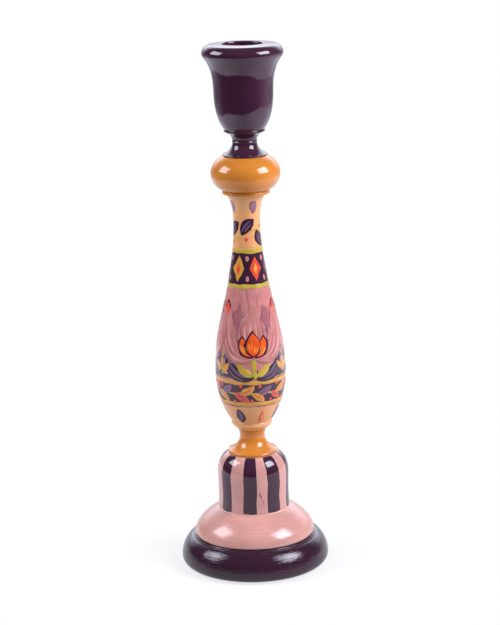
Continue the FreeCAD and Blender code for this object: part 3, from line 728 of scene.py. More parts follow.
# Beech is pale and plain, with fine long grain about 0.5 mm wide and short dark flecks.
def bare_beech(name, colour, roughness=0.55):
    """Bare or thinly stained beech with its grain along the stick."""
    material, tree = new_material(name)
    place = add_node(tree, "ShaderNodeTexCoord").outputs["Object"]
    grain_place = add_node(tree, "ShaderNodeMapping", {
        "Vector": place, "Scale": scales(*GRAIN_SPANS)})
    grain = add_node(tree, "ShaderNodeTexNoise", {
        "Vector": grain_place, "Scale": 1.0, "Detail": 3.0, "Roughness": 0.6})
    fleck_place = add_node(tree, "ShaderNodeMapping", {
        "Vector": place, "Scale": scales(*FLECK_SPANS)})
    flecks = add_node(tree, "ShaderNodeTexVoronoi", {"Vector": fleck_place, "Scale": 1.0})
    fleck_tone = add_node(tree, "ShaderNodeMapRange", {
        "Value": flecks.outputs["Distance"], "From Min": FLECK_EDGE[0], "From Max": FLECK_EDGE[1],
        "To Min": FLECK_TONES[0], "To Max": FLECK_TONES[1]})
    tone = add_node(tree, "ShaderNodeMath", {
        0: grain, 1: fleck_tone}, operation="MULTIPLY")
    shade = add_node(tree, "ShaderNodeMix", {
        0: tone, "A": toned(colour, GRAIN_TONES[0]), "B": toned(colour, GRAIN_TONES[1])},
        data_type="RGBA")
    bump = add_node(tree, "ShaderNodeBump", {
        "Height": grain, "Strength": 1.0, "Distance": GRAIN_DEPTH * MM})
    wood = add_node(tree, "ShaderNodeBsdfPrincipled", {
        "Base Color": shade.outputs["Result"], "Roughness": roughness, "IOR": CLEAR_IOR, "Normal": bump})
    add_node(tree, "ShaderNodeOutputMaterial", {"Surface": wood})
    return material


# Pressed wool felt is matt, with tangled fibres about 0.3 mm thick that catch light at the rim.
def wool_felt(name, colour):
    """Pressed felt with tangled fibres."""
    material, tree = new_material(name)
    place = add_node(tree, "ShaderNodeTexCoord").outputs["Object"]
    fibres = add_node(tree, "ShaderNodeTexNoise", {
        "Vector": place, "Scale": 1 / (FIBRE_SPAN * MM), "Detail": 5.0, "Roughness": 0.7, "Distortion": 1.5})
    shade = add_node(tree, "ShaderNodeMix", {
        0: fibres, "A": toned(colour, FIBRE_TONES[0]), "B": toned(colour, FIBRE_TONES[1])},
        data_type="RGBA")
    bump = add_node(tree, "ShaderNodeBump", {
        "Height": fibres, "Strength": 1.0, "Distance": FIBRE_DEPTH * MM})
    felt = add_node(tree, "ShaderNodeBsdfPrincipled", {
        "Base Color": shade.outputs["Result"], "Roughness": 0.95, "Sheen Weight": 0.4,
        "Sheen Roughness": 0.5, "Normal": bump})
    add_node(tree, "ShaderNodeOutputMaterial", {"Surface": felt})
    return material


# Zinc plating on steel is a bright bluish grey, dulled by fine rolling marks.
def zinc_steel(name, colour):
    """Zinc-plated steel with fine marks from rolling and handling."""
    material, tree = new_material(name)
    place = add_node(tree, "ShaderNodeTexCoord").outputs["Object"]
    marks = add_node(tree, "ShaderNodeTexNoise", {
        "Vector": place, "Scale": 1 / (MARK_SPAN * MM), "Detail": 4.0, "Roughness": 0.6})
    shade = add_node(tree, "ShaderNodeMix", {
        0: marks, "A": toned(colour, MARK_TONES[0]), "B": toned(colour, MARK_TONES[1])},
        data_type="RGBA")
    rough = add_node(tree, "ShaderNodeMapRange", {
        "Value": marks, "To Min": ZINC_ROUGHNESS[0], "To Max": ZINC_ROUGHNESS[1]})
    bump = add_node(tree, "ShaderNodeBump", {
        "Height": marks, "Strength": 1.0, "Distance": MARK_DEPTH * MM})
    metal = add_node(tree, "ShaderNodeBsdfPrincipled", {
        "Base Color": shade.outputs["Result"], "Metallic": 1.0, "Roughness": rough,
        "Normal": bump})
    add_node(tree, "ShaderNodeOutputMaterial", {"Surface": metal})
    return material


def finish(name):
    """The material of that name, made when it is first asked for."""
    if name in bpy.data.materials:
        return bpy.data.materials[name]
    colours = bpy.context.scene.candlestick.colours
    makers = {
        "aubergine_gloss": lambda: gloss_enamel(name, colours.aubergine),
        "aubergine_gloss_plinth": lambda: gloss_enamel(
            name, toned(colours.aubergine, PLINTH_TONE), (-1.0, 1.0), roughness=0.08,
            ring_gap=1.2, ring_run=8, ring_depth=0.2),
        "pink_gloss_cushion": lambda: gloss_enamel(
            name, colours.pink, (-1.0, 1.0), roughness=0.19, ring_gap=1.6, ring_run=14, ring_depth=0.03),
        "pink_gloss": lambda: gloss_enamel(name, colours.pink, roughness=0.08),
        "ochre_gloss": lambda: gloss_enamel(name, colours.ochre, roughness=0.15),
        "peach_gloss": lambda: gloss_enamel(name, colours.peach, roughness=0.25),
        "stained_beech": lambda: bare_beech(name, colours.stain, roughness=0.35),
        "planed_beech": lambda: bare_beech(name, colours.beech),
        "wool_felt": lambda: wool_felt(name, colours.felt),
        "zinc_plated_steel": lambda: zinc_steel(name, colours.zinc),
        "stripe_paint": lambda: brushed_paint(name, colours.aubergine, spread=0.1, roughness=0.06),
    }
    if name in makers:
        return makers[name]()
    return brushed_paint(name, getattr(colours, name.removesuffix("_paint")))


class Outline:
    """Half of a turned section's outline, in radius and height, drawn as a pen moves."""

    def __init__(self, radius, height):
        self.mesh = bmesh.new()
        self.start = self.mesh.verts.new((radius, 0.0, height))
        self.here = self.start
        self.path = [self.start.co.copy()]

    def line(self, *points):
        """Goes straight from point to point."""
        for radius, height in points:
            vert = self.mesh.verts.new((radius, 0.0, height))
            self.mesh.edges.new((self.here, vert))
            self.here = vert
            self.path.append(vert.co.copy())

    def curve(self, radius, height, handle_shares):
        """Goes to a point on a smooth curve. A handle is a share of the way out and of the way up."""
        start = self.here.co
        width = radius - start.x
        rise = height - start.z
        handles = [Vector((start.x + out * width, 0.0, start.z + up * rise)) for out, up in handle_shares]
        end = Vector((radius, 0.0, height))
        steps = max(CORNER_STEPS, math.ceil((end - start).length / CURVE_SPACING))
        for point in interpolate_bezier(start, *handles, end, steps + 1)[1:]:
            self.line((point.x, point.z))

    def skin(self, foot, top):
        """The outer side from one point of the outline up to another, for paint to be laid on."""
        first, last = (self.nearest(Vector((radius, 0.0, height))) for radius, height in (foot, top))
        return Skin(self.path[first:last + 1])

    def nearest(self, place):
        """Number of the point of the outline that lies nearest to a place."""
        return min(range(len(self.path)), key=lambda number: (self.path[number] - place).length)

    def soften(self):
        """Rounds each sharp corner, as far as the edges beside it allow."""
        for vert in list(self.mesh.verts):
            if len(vert.link_edges) != 2:
                continue
            sides = [edge.other_vert(vert).co - vert.co for edge in vert.link_edges]
            if sides[0].angle(-sides[1]) < CORNER_ANGLE:
                continue
            reach = min(CORNER_ROUND, *(side.length * CORNER_SHARE for side in sides))
            bmesh.ops.bevel(
                self.mesh, geom=[vert], offset=reach, offset_type="OFFSET", segments=CORNER_STEPS,
                profile=0.5, affect="VERTICES", clamp_overlap=True, material=-1)

    def turned(self):
        """Closes the outline where it isn't on the axis, and turns it into a solid."""
        mesh = self.mesh
        if self.start.co.x > 0:
            mesh.edges.new((self.here, self.start))
        self.soften()
        bmesh.ops.spin(
            mesh, geom=mesh.verts[:] + mesh.edges[:], cent=(0, 0, 0), axis=(0, 0, 1), angle=2 * math.pi,
            steps=TURN_STEPS, use_merge=True)
        bmesh.ops.remove_doubles(mesh, verts=mesh.verts, dist=SAME_PLACE)
        bmesh.ops.recalc_face_normals(mesh, faces=mesh.faces)
        return mesh


def add_piece(name, mesh, materials, node=None):
    """Makes a piece of a mesh, in place on the stick. A node is the plain solid that it stands for."""
    for face in mesh.faces:
        face.smooth = True
    data = bpy.data.meshes.new(name)
    mesh.to_mesh(data)
    mesh.free()
    data.set_sharp_from_angle(angle=SHARP_ANGLE)
    for material in materials:
        data.materials.append(finish(material))
    piece = bpy.data.objects.new(name, data)
    bpy.context.scene.collection.objects.link(piece)
    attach(piece, "root")
    if node:
        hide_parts(node)
    return piece


class Skin:
    """The painted side of a turned section, measured along its outline from the foot up."""

    def __init__(self, points):
        self.points = points
        self.lengths = [0.0]
        for below, above in zip(points, points[1:]):
            self.lengths.append(self.lengths[-1] + (above - below).length)

    def reach(self, height):
        """How far along the outline a level lies."""
        for number, (below, above) in enumerate(zip(self.points, self.points[1:])):
            if height <= above.z:
                share = (height - below.z) / (above.z - below.z)
                return self.lengths[number] + share * (above - below).length
        return self.lengths[-1]

    def at(self, along):
        """Point of the outline that lies so far along it, with the direction out of the wood there."""
        along = min(max(along, 0.0), self.lengths[-1])
        low, high = 0, len(self.lengths) - 1
        while high - low > 1:
            middle = (low + high) // 2
            if self.lengths[middle] <= along:
                low = middle
            else:
                high = middle
        share = (along - self.lengths[low]) / (self.lengths[high] - self.lengths[low])
        before = self.points[max(low - 1, 0)]
        after = self.points[min(high + 1, len(self.points) - 1)]
        climb = (after - before).normalized()
        return self.points[low].lerp(self.points[high], share), Vector((climb.z, 0.0, -climb.x))

    def place(self, angle, along, lift):
        """Point in space at an angle from the front, so far along the outline, lifted off the wood."""
        point, out = self.at(along)
        raised = point + out * lift
        return Vector((raised.x * math.sin(angle), -raised.x * math.cos(angle), raised.z))


def around(number, total):
    """Angle of one of so many even places round the stick."""
    return number * 2 * math.pi / total


def bend(points, rise=1):
    """A smooth way past handles in millimetres, by the share travelled. A rise of -1 turns it upside down."""
    handles = [Vector((x, rise * y)) for x, y in points]

    def at(share):
        row = handles
        while len(row) > 1:
            row = [first.lerp(second, share) for first, second in zip(row, row[1:])]
        return row[0]
    return at


def left_of(way, share):
    """Direction to the left of a way."""
    ahead = way(min(share + LOOK_AHEAD, 1.0)) - way(max(share - LOOK_AHEAD, 0.0))
    return Vector((-ahead.y, ahead.x)).normalized()


def beside(way, shift, part):
    """Part of a way, moved to the left by a shift that fades out towards both ends of the whole way."""
    start, end = part

    def at(share):
        share = start + share * (end - start)
        return way(share) + left_of(way, share) * shift * 4 * share * (1 - share)
    return at


def fullness(share, belly, ends):
    """Width of a stroke at a share of its length, as a share of its greatest width."""
    rise = share / belly if share < belly else (1 - share) / (1 - belly)
    square, root = ends[0] if share < belly else ends[1]
    return max(0.0, 1 - (1 - rise) ** square) ** (1 / root)


class Spot:
    """Where a motif is drawn from: an angle from the front, a level, a tilt and a size."""

    def __init__(self, angle, height, tilt=0.0, scale=1.0, mirror=1):
        self.angle = angle
        self.height = height
        self.tilt = Matrix.Rotation(tilt, 2)
        self.scale = scale
        self.mirror = mirror

    def turned(self, point):
        """A point of the motif, across and up the skin in metres."""
        return (self.tilt @ Vector((point.x * self.mirror, point.y))) * (self.scale * MM)

    def sides(self):
        """The same spot upright, once as it is and once mirrored."""
        return [Spot(self.angle, self.height, scale=self.scale, mirror=mirror) for mirror in (1, -1)]


class Painter:
    """Lays brush strokes on a skin. Each colour of a motif becomes one piece."""

    def __init__(self, motif, skin, seed):
        self.motif = motif
        self.skin = skin
        self.chance = random.Random(seed)
        self.meshes = {}

    def pick(self, span):
        """A chance value from a span."""
        return self.chance.uniform(*span)

    def stray(self, most):
        """A chance value up to a size, either way."""
        return self.chance.uniform(-most, most)

    def lay(self, colour, steps, rows, spread):
        """Lays a grid of paint. Spread turns a place from -1 to 1 each way into a point and its UV."""
        if colour not in self.meshes:
            self.meshes[colour] = bmesh.new()
            self.meshes[colour].loops.layers.uv.new("stroke")
        mesh = self.meshes[colour]
        uv = mesh.loops.layers.uv["stroke"]
        verts = bmesh.ops.create_grid(mesh, x_segments=steps, y_segments=rows, size=1.0)["verts"]
        marks = {}
        for vert in verts:
            vert.co, marks[vert] = spread(vert.co.x, vert.co.y)
        for face in {face for vert in verts for face in vert.link_faces}:
            for loop in face.loops:
                loop[uv].uv = marks[loop.vert]
        bmesh.ops.remove_doubles(mesh, verts=verts, dist=SAME_PLACE)

    def stroke(self, spot, way, layer):
        """Lays one stroke along a way in millimetres, from a spot of the skin."""
        way = beside(way, layer.shift, layer.part)
        foot = self.skin.reach(spot.height)
        seed = self.pick(SEEDS)
        run = (way(1.0) - way(0.0)).length

        def spread(x, y):
            share = (1 - math.cos(math.pi * (x + 1) / 2)) / 2
            side = math.sin(math.pi / 2 * y)
            edge = LEFT_SEED * (side > 0)
            slow = noise.noise(Vector((share * run / SLOW_SPAN, seed, edge)))
            quick = noise.noise(Vector((share * run / QUICK_SPAN, seed, QUICK_SEED + edge)))
            full = layer.width / 2 * fullness(share, layer.belly, layer.ends)
            half = full * (1 + STROKE_WOBBLE * (2 * slow + quick))
            local = spot.turned(way(share) + left_of(way, share) * (half * side * spot.mirror))
            along = foot + local.y
            angle = spot.angle + local.x / self.skin.at(along)[0].x
            flat = (1 - side ** STROKE_CROWN[0]) * (1 - (2 * share - 1) ** STROKE_CROWN[1])
            lift = layer.coat * COAT - COAT_EDGE * (1 - flat)
            return self.skin.place(angle, along, lift), (share * run + seed, half * side + seed)
        self.lay(layer.colour, layer.steps, layer.rows, spread)

    def strokes(self, spot, points, layers, rise=1):
        """Lays strokes over each other along one way."""
        for layer in layers:
            self.stroke(spot, bend(points, rise), layer)

    def dab(self, spot, place, layer, stretch=1.2):
        """Touches the skin once with the tip of the brush."""
        reach = Vector((0, layer.width * stretch / 2))
        self.stroke(spot, bend((Vector(place) - reach, Vector(place) + reach)), layer)

    def ring(self, colour, height, width, coat=1, wobble=0.1):
        """Lays a line right round the stick, its width in millimetres."""
        foot = self.skin.reach(height)
        radius = self.skin.at(foot)[0].x / MM
        seed = self.pick(SEEDS)

        def spread(x, y):
            angle = math.pi * x
            side = math.sin(math.pi / 2 * y)
            place = Vector((math.cos(angle), math.sin(angle), 0)) * (radius / RING_SPAN)
            shake = noise.noise(place + Vector((0, 0, seed + LEFT_SEED * (side > 0))))
            across = side * (width / 2 + wobble * RING_REACH * shake)
            lift = coat * COAT - COAT_EDGE * side ** STROKE_CROWN[0]
            return self.skin.place(angle, foot + across * MM, lift), (angle * radius + seed, across + seed)
        self.lay(colour, TURN_STEPS, max(RING_LEAST_ROWS, round(width / RING_ROW)), spread)

    def band(self, middle, height, edges):
        """Lays a dark band round the stick, and lines along its edges."""
        self.ring("aubergine", middle, height / MM, wobble=BAND_WOBBLE)
        for side in (-1, 1):
            for colour, beyond, width, coat, wobble in edges:
                self.ring(colour, middle + side * (height / 2 + beyond * MM), width, coat, wobble)

    def upright(self, colour, middle, half, foot, top, seed,
                coat=2, wobble=0.16, blunt=90, steps=60, rows=12):
        """Lays a broad upright stroke between two lengths along the skin, its half width as an angle."""

        def spread(x, y):
            side = math.sin(math.pi / 2 * y)
            rise = (x + 1) / 2
            start = foot + abs(noise.noise(Vector((side * FRAY_TEETH, seed, 0)))) * FRAY_DEPTH
            along = start + rise * (top - start)
            shake = noise.noise(Vector((along / UPRIGHT_SPAN, seed, LEFT_SEED * (side > 0))))
            lean = noise.noise(Vector((along / LEAN_SPAN, seed, LEAN_SEED)))
            full = max(0.0, 1 - (2 * rise - 1) ** blunt) ** 0.5
            angle = middle - half * (full * side * (1 + wobble * shake) + wobble * lean)
            flat = (1 - side ** UPRIGHT_CROWN[0]) * (1 - (2 * rise - 1) ** UPRIGHT_CROWN[1])
            lift = coat * COAT - (COAT + COAT_EDGE) * (1 - flat)
            return self.skin.place(angle, along, lift), (along / MM, angle * UPRIGHT_RADIUS + seed)
        self.lay(colour, steps, rows, spread)

    def done(self):
        """Makes the pieces, and gives each coat its body, which reaches down into the wood."""
        for colour, mesh in self.meshes.items():
            piece = add_piece(f"{self.motif}_{colour}", mesh, [f"{colour}_paint"])
            body = piece.modifiers.new("coat", "SOLIDIFY")
            body.thickness = COAT_BODY
            body.offset = -1.0


def plinth_outline(sizes, cushion):
    """Foot ring: felt recess and screw pocket below, seat for the cushion's spigot above."""
    ovolo_z = PLINTH_Z + sizes.toe_height
    lip_z = ovolo_z + sizes.ovolo_height
    shelf_radius = sizes.radius - sizes.ovolo_width
    lip_radius = shelf_radius - sizes.lip_inset
    seat_radius = cushion.spigot_radius + GLUE_GAP
    ring = Outline(FELT_RECESS_RADIUS, PLINTH_Z)
    ring.line((sizes.radius - sizes.toe_inset, PLINTH_Z))
    ring.curve(sizes.radius, ovolo_z, OUT_THEN_UP_SHARES)
    ring.curve(shelf_radius, lip_z, PLINTH_OVOLO_SHARES)
    ring.line((lip_radius, lip_z), (lip_radius, CUSHION_Z - sizes.lip_round))
    ring.curve(lip_radius - sizes.lip_round, CUSHION_Z, UP_THEN_IN_SHARES)
    ring.line(
        (seat_radius, CUSHION_Z), (seat_radius, CUSHION_SEAT_Z), (SCREW_HOLE_RADIUS, CUSHION_SEAT_Z),
        (SCREW_HOLE_RADIUS, WASHER_TOP_Z), (WASHER_POCKET_RADIUS, WASHER_TOP_Z),
        (WASHER_POCKET_RADIUS, FELT_TOP_Z), (FELT_RECESS_RADIUS, FELT_TOP_Z))
    return ring


def cushion_outline(sizes, dome):
    """Domed ring with a spigot below and a seat for the dome's spigot above."""
    seat_radius = dome.spigot_radius + GLUE_GAP
    seat_z = DOME_SPIGOT_Z - GLUE_GAP
    ring = Outline(SCREW_HOLE_RADIUS, CUSHION_SEAT_Z)
    ring.line(
        (sizes.spigot_radius, CUSHION_SEAT_Z), (sizes.spigot_radius, CUSHION_Z),
        (sizes.radius - sizes.toe_inset, CUSHION_Z))
    ring.curve(sizes.radius, CUSHION_Z + sizes.toe_height, OUT_THEN_UP_SHARES)
    ring.curve(sizes.top_radius, DOME_Z, CUSHION_SWELL_SHARES)
    ring.line((seat_radius, DOME_Z), (seat_radius, seat_z), (SCREW_HOLE_RADIUS, seat_z))
    return ring


def dome_outline(sizes):
    """Drum with a round shoulder: spigot and screw hole below, dowel hole above."""
    screw_hole_top_z = SCREW_TIP_Z + GLUE_SPACE
    dowel_hole_z = STEM_DOWEL_Z - GLUE_SPACE
    waist_z = DOME_Z + sizes.foot_height
    drum = Outline(0, screw_hole_top_z)
    drum.line(
        (SCREW_BITE_RADIUS, screw_hole_top_z), (SCREW_BITE_RADIUS, DOME_SPIGOT_Z),
        (sizes.spigot_radius, DOME_SPIGOT_Z), (sizes.spigot_radius, DOME_Z), (sizes.crease_radius, DOME_Z))
    drum.curve(sizes.waist_radius, waist_z, DOME_WAIST_SHARES)
    drum.curve(sizes.shoulder_radius, waist_z + sizes.body_height, DOME_WAIST_SHARES)
    drum.curve(sizes.top_radius, COLLAR_Z, DOME_SHOULDER_SHARES)
    drum.line((DOWEL_HOLE_RADIUS, COLLAR_Z), (DOWEL_HOLE_RADIUS, dowel_hole_z), (0, dowel_hole_z))
    return drum


def collar_outline(sizes):
    """Spool with a wide rounded flange, bored through for the stem dowel."""
    edge_z = COLLAR_Z + sizes.toe_height
    cove_z = edge_z + sizes.edge_height
    neck_radius = DOWEL_HOLE_RADIUS + sizes.neck_wall
    spool = Outline(DOWEL_HOLE_RADIUS, COLLAR_Z)
    spool.line((sizes.flange_radius - sizes.toe_inset, COLLAR_Z))
    spool.curve(sizes.flange_radius, edge_z, OUT_THEN_UP_SHARES)
    spool.curve(sizes.flange_radius - sizes.edge_inset, cove_z, UP_THEN_IN_SHARES)
    spool.curve(neck_radius, cove_z + sizes.cove_height, COLLAR_COVE_SHARES)
    spool.curve(neck_radius + sizes.flare_width, BALUSTER_Z, COLLAR_FLARE_SHARES)
    spool.line((DOWEL_HOLE_RADIUS, BALUSTER_Z))
    return spool


def baluster_outline(sizes):
    """Long vase with a bead at its foot and a flared top, bored at both ends for the dowels."""
    bead_radius = sizes.foot_radius + sizes.bead_width
    neck_radius = DOWEL_HOLE_RADIUS + sizes.neck_wall
    bead_z = BALUSTER_Z + sizes.bead_height
    quirk_z = bead_z + sizes.quirk_height
    belly_z = quirk_z + sizes.belly_height
    lower_hole_z = STEM_DOWEL_TOP_Z + GLUE_SPACE
    upper_hole_z = CUP_DOWEL_Z - GLUE_SPACE
    stem = Outline(0, lower_hole_z)
    stem.line(
        (DOWEL_HOLE_RADIUS, lower_hole_z), (DOWEL_HOLE_RADIUS, BALUSTER_Z), (sizes.foot_radius, BALUSTER_Z))
    stem.curve(bead_radius, bead_z, BALUSTER_BEAD_SHARES)
    stem.curve(bead_radius - sizes.quirk_depth, quirk_z, UP_THEN_IN_SHARES)
    stem.curve(sizes.belly_radius, belly_z, BALUSTER_BELLY_SHARES)
    stem.curve(neck_radius, belly_z + sizes.taper_height, BALUSTER_TAPER_SHARES)
    stem.curve(neck_radius + sizes.flare_width, KNOP_Z, BALUSTER_FLARE_SHARES)
    stem.line((DOWEL_HOLE_RADIUS, KNOP_Z), (DOWEL_HOLE_RADIUS, upper_hole_z), (0, upper_hole_z))
    return stem


def knop_outline(sizes):
    """Round bun on a thin fillet, bored through for the cup dowel."""
    flat_radius = sizes.fillet_radius - sizes.fillet_round
    fillet_z = KNOP_Z + sizes.fillet_height
    bulge_z = fillet_z + sizes.quirk_height
    bun = Outline(DOWEL_HOLE_RADIUS, KNOP_Z)
    bun.line((flat_radius, KNOP_Z))
    bun.curve(sizes.fillet_radius, KNOP_Z + sizes.fillet_round, OUT_THEN_UP_SHARES)
    bun.line((sizes.fillet_radius, fillet_z - sizes.fillet_round))
    bun.curve(flat_radius, fillet_z, UP_THEN_IN_SHARES)
    bun.line((sizes.fillet_radius - sizes.quirk_inset, bulge_z))
    bun.curve(sizes.radius, bulge_z + sizes.bulge_height, KNOP_BULGE_SHARES)
    bun.curve(sizes.top_radius, CUP_Z, KNOP_CROWN_SHARES)
    bun.line((DOWEL_HOLE_RADIUS, CUP_Z))
    return bun


def cup_outline(sizes):
    """Foot, neck and flared bowl, with the candle socket and a dowel hole."""
    neck_radius = DOWEL_HOLE_RADIUS + sizes.neck_wall
    ledge_edge_radius = sizes.ledge_radius - sizes.ledge_round
    bowl_radius = sizes.socket_radius + sizes.bowl_wall
    rim_radius = bowl_radius + sizes.rim_overhang
    cove_z = CUP_Z + sizes.foot_edge
    ring_z = cove_z + sizes.cove_height
    throat_z = ring_z + sizes.ring_height
    undercut_z = throat_z + sizes.throat_height
    ledge_z = undercut_z + sizes.undercut
    step_z = ledge_z + sizes.ledge_height
    bowl_z = step_z + sizes.step_height
    flare_z = bowl_z + sizes.bowl_height
    lip_z = flare_z + sizes.flare_height
    widest_z = lip_z + sizes.lip_under_height
    hole_z = CUP_DOWEL_TOP_Z + GLUE_SPACE
    mouth_z = TOP_Z - sizes.socket_round
    socket_z = TOP_Z - sizes.socket_depth
    cup = Outline(0, hole_z)
    cup.line(
        (DOWEL_HOLE_RADIUS, hole_z), (DOWEL_HOLE_RADIUS, CUP_Z), (sizes.foot_radius, CUP_Z),
        (sizes.foot_radius, cove_z))
    cup.curve(neck_radius, ring_z, CUP_COVE_SHARES)
    cup.line((neck_radius + sizes.ring_proud, ring_z + sizes.ring_height / 2), (neck_radius, throat_z))
    cup.curve(neck_radius + sizes.throat_width, undercut_z, CUP_THROAT_SHARES)
    cup.line((ledge_edge_radius, ledge_z))
    cup.curve(sizes.ledge_radius, ledge_z + sizes.ledge_round, OUT_THEN_UP_SHARES)
    cup.line((sizes.ledge_radius, step_z - sizes.ledge_round))
    cup.curve(ledge_edge_radius, step_z, UP_THEN_IN_SHARES)
    cup.line((sizes.ledge_radius, bowl_z))
    cup.curve(bowl_radius, flare_z, CUP_BOWL_SHARES)
    cup.curve(rim_radius - sizes.lip_under_width, lip_z, CUP_FLARE_SHARES)
    cup.curve(rim_radius, widest_z, CUP_LIP_UNDER_SHARES)
    cup.curve(rim_radius - sizes.lip_width, widest_z + sizes.lip_height, CUP_LIP_SHARES)
    cup.line((sizes.socket_radius + sizes.socket_round, TOP_Z))
    cup.curve(sizes.socket_radius, mouth_z, OUT_THEN_UP_SHARES)
    for step in range(1, SOCKET_STEPS + 1):
        cup.line((sizes.socket_radius, mouth_z - step * SOCKET_PAINT / SOCKET_STEPS))
    cup.line((sizes.socket_radius, socket_z), (sizes.spur_radius, socket_z), (0, socket_z - sizes.spur_depth))
    return cup


def stain_socket(mesh, sizes):
    """Gives the socket its thin stain, with an uneven edge where the brushed enamel ends."""
    floor_z = TOP_Z - sizes.socket_depth - sizes.spur_depth - SAME_PLACE
    for face in mesh.faces:
        middle = face.calc_center_median()
        in_socket = Vector((middle.x, middle.y)).length < sizes.socket_radius + SAME_PLACE
        shake = noise.noise(Vector((middle.x, middle.y, 0.0)) / PAINT_RUN_SPAN)
        if in_socket and floor_z < middle.z < TOP_Z - PAINT_RUN + shake * PAINT_RUN_SPREAD:
            face.material_index = 1


def cut_in_toe(mesh, sizes):
    """Gives the cushion's tucked foot the plinth's dark enamel, which was brushed up over the joint."""
    for face in mesh.faces:
        if face.calc_center_median().z < CUSHION_Z + sizes.dark_toe:
            face.material_index = 1


class CANDLESTICK_OT_plinth(bpy.types.Operator):
    """Turns the dark foot ring."""

    bl_idname = "candlestick.plinth"
    bl_label = "Plinth"

    def execute(self, context):
        settings = context.scene.candlestick
        outline = plinth_outline(settings.plinth, settings.cushion)
        materials = ["aubergine_gloss_plinth"]
        add_piece("enamelled_plinth", outline.turned(), materials, "base_plinth")
        return {"FINISHED"}


class CANDLESTICK_OT_cushion(bpy.types.Operator):
    """Turns the pink domed ring."""

    bl_idname = "candlestick.cushion"
    bl_label = "Cushion"

    def execute(self, context):
        settings = context.scene.candlestick
        sizes = settings.cushion
        outline = cushion_outline(sizes, settings.dome)
        skin = outline.skin((sizes.radius, CUSHION_Z + sizes.toe_height), (sizes.top_radius, DOME_Z))
        mesh = outline.turned()
        cut_in_toe(mesh, sizes)
        materials = ["pink_gloss_cushion", "aubergine_gloss_plinth"]
        add_piece("enamelled_cushion", mesh, materials, "base_cushion")
        # Painted highlight: a pale line along the cushion's foot
        brush_cushion_highlight(skin, sizes)
        return {"FINISHED"}


class CANDLESTICK_OT_dome(bpy.types.Operator):
    """Turns the drum and brushes its upright stripes."""

    bl_idname = "candlestick.dome"
    bl_label = "Striped Dome"

    def execute(self, context):
        settings = context.scene.candlestick
        outline = dome_outline(settings.dome)
        skin = outline.skin((settings.dome.crease_radius, DOME_Z), (settings.dome.top_radius, COLLAR_Z))
        add_piece("enamelled_dome", outline.turned(), ["pink_gloss"], "striped_dome")
        brush_stripes(skin, settings.stripes)
        return {"FINISHED"}


class CANDLESTICK_OT_collar(bpy.types.Operator):
    """Turns the ochre spool under the baluster."""

    bl_idname = "candlestick.collar"
    bl_label = "Collar"

    def execute(self, context):
        outline = collar_outline(context.scene.candlestick.collar)
        add_piece("enamelled_collar", outline.turned(), ["ochre_gloss"], "lower_collar")
        return {"FINISHED"}


class CANDLESTICK_OT_baluster(bpy.types.Operator):
    """Turns the vase-shaped stem and paints its flowers, leaves and bands."""

    bl_idname = "candlestick.baluster"
    bl_label = "Painted Baluster"

    def execute(self, context):
        settings = context.scene.candlestick
        sizes = settings.baluster
        outline = baluster_outline(sizes)
        quirk_radius = sizes.foot_radius + sizes.bead_width - sizes.quirk_depth
        quirk_z = BALUSTER_Z + sizes.bead_height + sizes.quirk_height
        top_radius = DOWEL_HOLE_RADIUS + sizes.neck_wall + sizes.flare_width
        skin = outline.skin((quirk_radius, quirk_z), (top_radius, KNOP_Z))
        add_piece("enamelled_baluster", outline.turned(), ["peach_gloss"], "baluster_stem")
        motifs = draw_leaf_ring, draw_wreath, draw_ground, draw_sprigs, draw_tulips, draw_lozenges, draw_vine
        for draw in motifs:
            draw(skin, settings.painting)
        return {"FINISHED"}


class CANDLESTICK_OT_knop(bpy.types.Operator):
    """Turns the ochre bun under the cup."""

    bl_idname = "candlestick.knop"
    bl_label = "Knop"

    def execute(self, context):
        outline = knop_outline(context.scene.candlestick.knop)
        add_piece("enamelled_knop", outline.turned(), ["ochre_gloss"], "upper_knop")
        return {"FINISHED"}


class CANDLESTICK_OT_cup(bpy.types.Operator):
    """Turns the dark cup with its candle socket."""

    bl_idname = "candlestick.cup"
    bl_label = "Candle Cup"

    def execute(self, context):
        sizes = context.scene.candlestick.cup
        mesh = cup_outline(sizes).turned()
        stain_socket(mesh, sizes)
        materials = ["aubergine_gloss", "stained_beech"]
        add_piece("enamelled_cup", mesh, materials, "candle_cup")
        return {"FINISHED"}


class CANDLESTICK_OT_core(bpy.types.Operator):
    """Gives the dowels, the screw, its washer and the felt pad their own materials."""

    bl_idname = "candlestick.core"
    bl_label = "Dowels, Screw and Felt"

    def execute(self, context):
        finishes = {
            "stem_dowel": "planed_beech", "cup_dowel": "planed_beech", "base_screw": "zinc_plated_steel",
            "screw_washer": "zinc_plated_steel", "felt_pad": "wool_felt"}
        for node, material in finishes.items():
            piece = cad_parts[node]
            piece.data.materials.clear()
            piece.data.materials.append(finish(material))
        return {"FINISHED"}


def brush_cushion_highlight(skin, sizes):
    """Brushes a painted highlight, a pale line along the cushion's foot where its rounded edge would catch
    the light.
    """
    painter = Painter("cushion_edge", skin, seed=3)
    height = CUSHION_Z + sizes.toe_height + CUSHION_HIGHLIGHT_RISE
    # The painted highlight, in the same blush as the petals' lighter streaks
    painter.ring("blush", height, CUSHION_HIGHLIGHT_WIDTH, wobble=LINE_WOBBLE)
    painter.done()


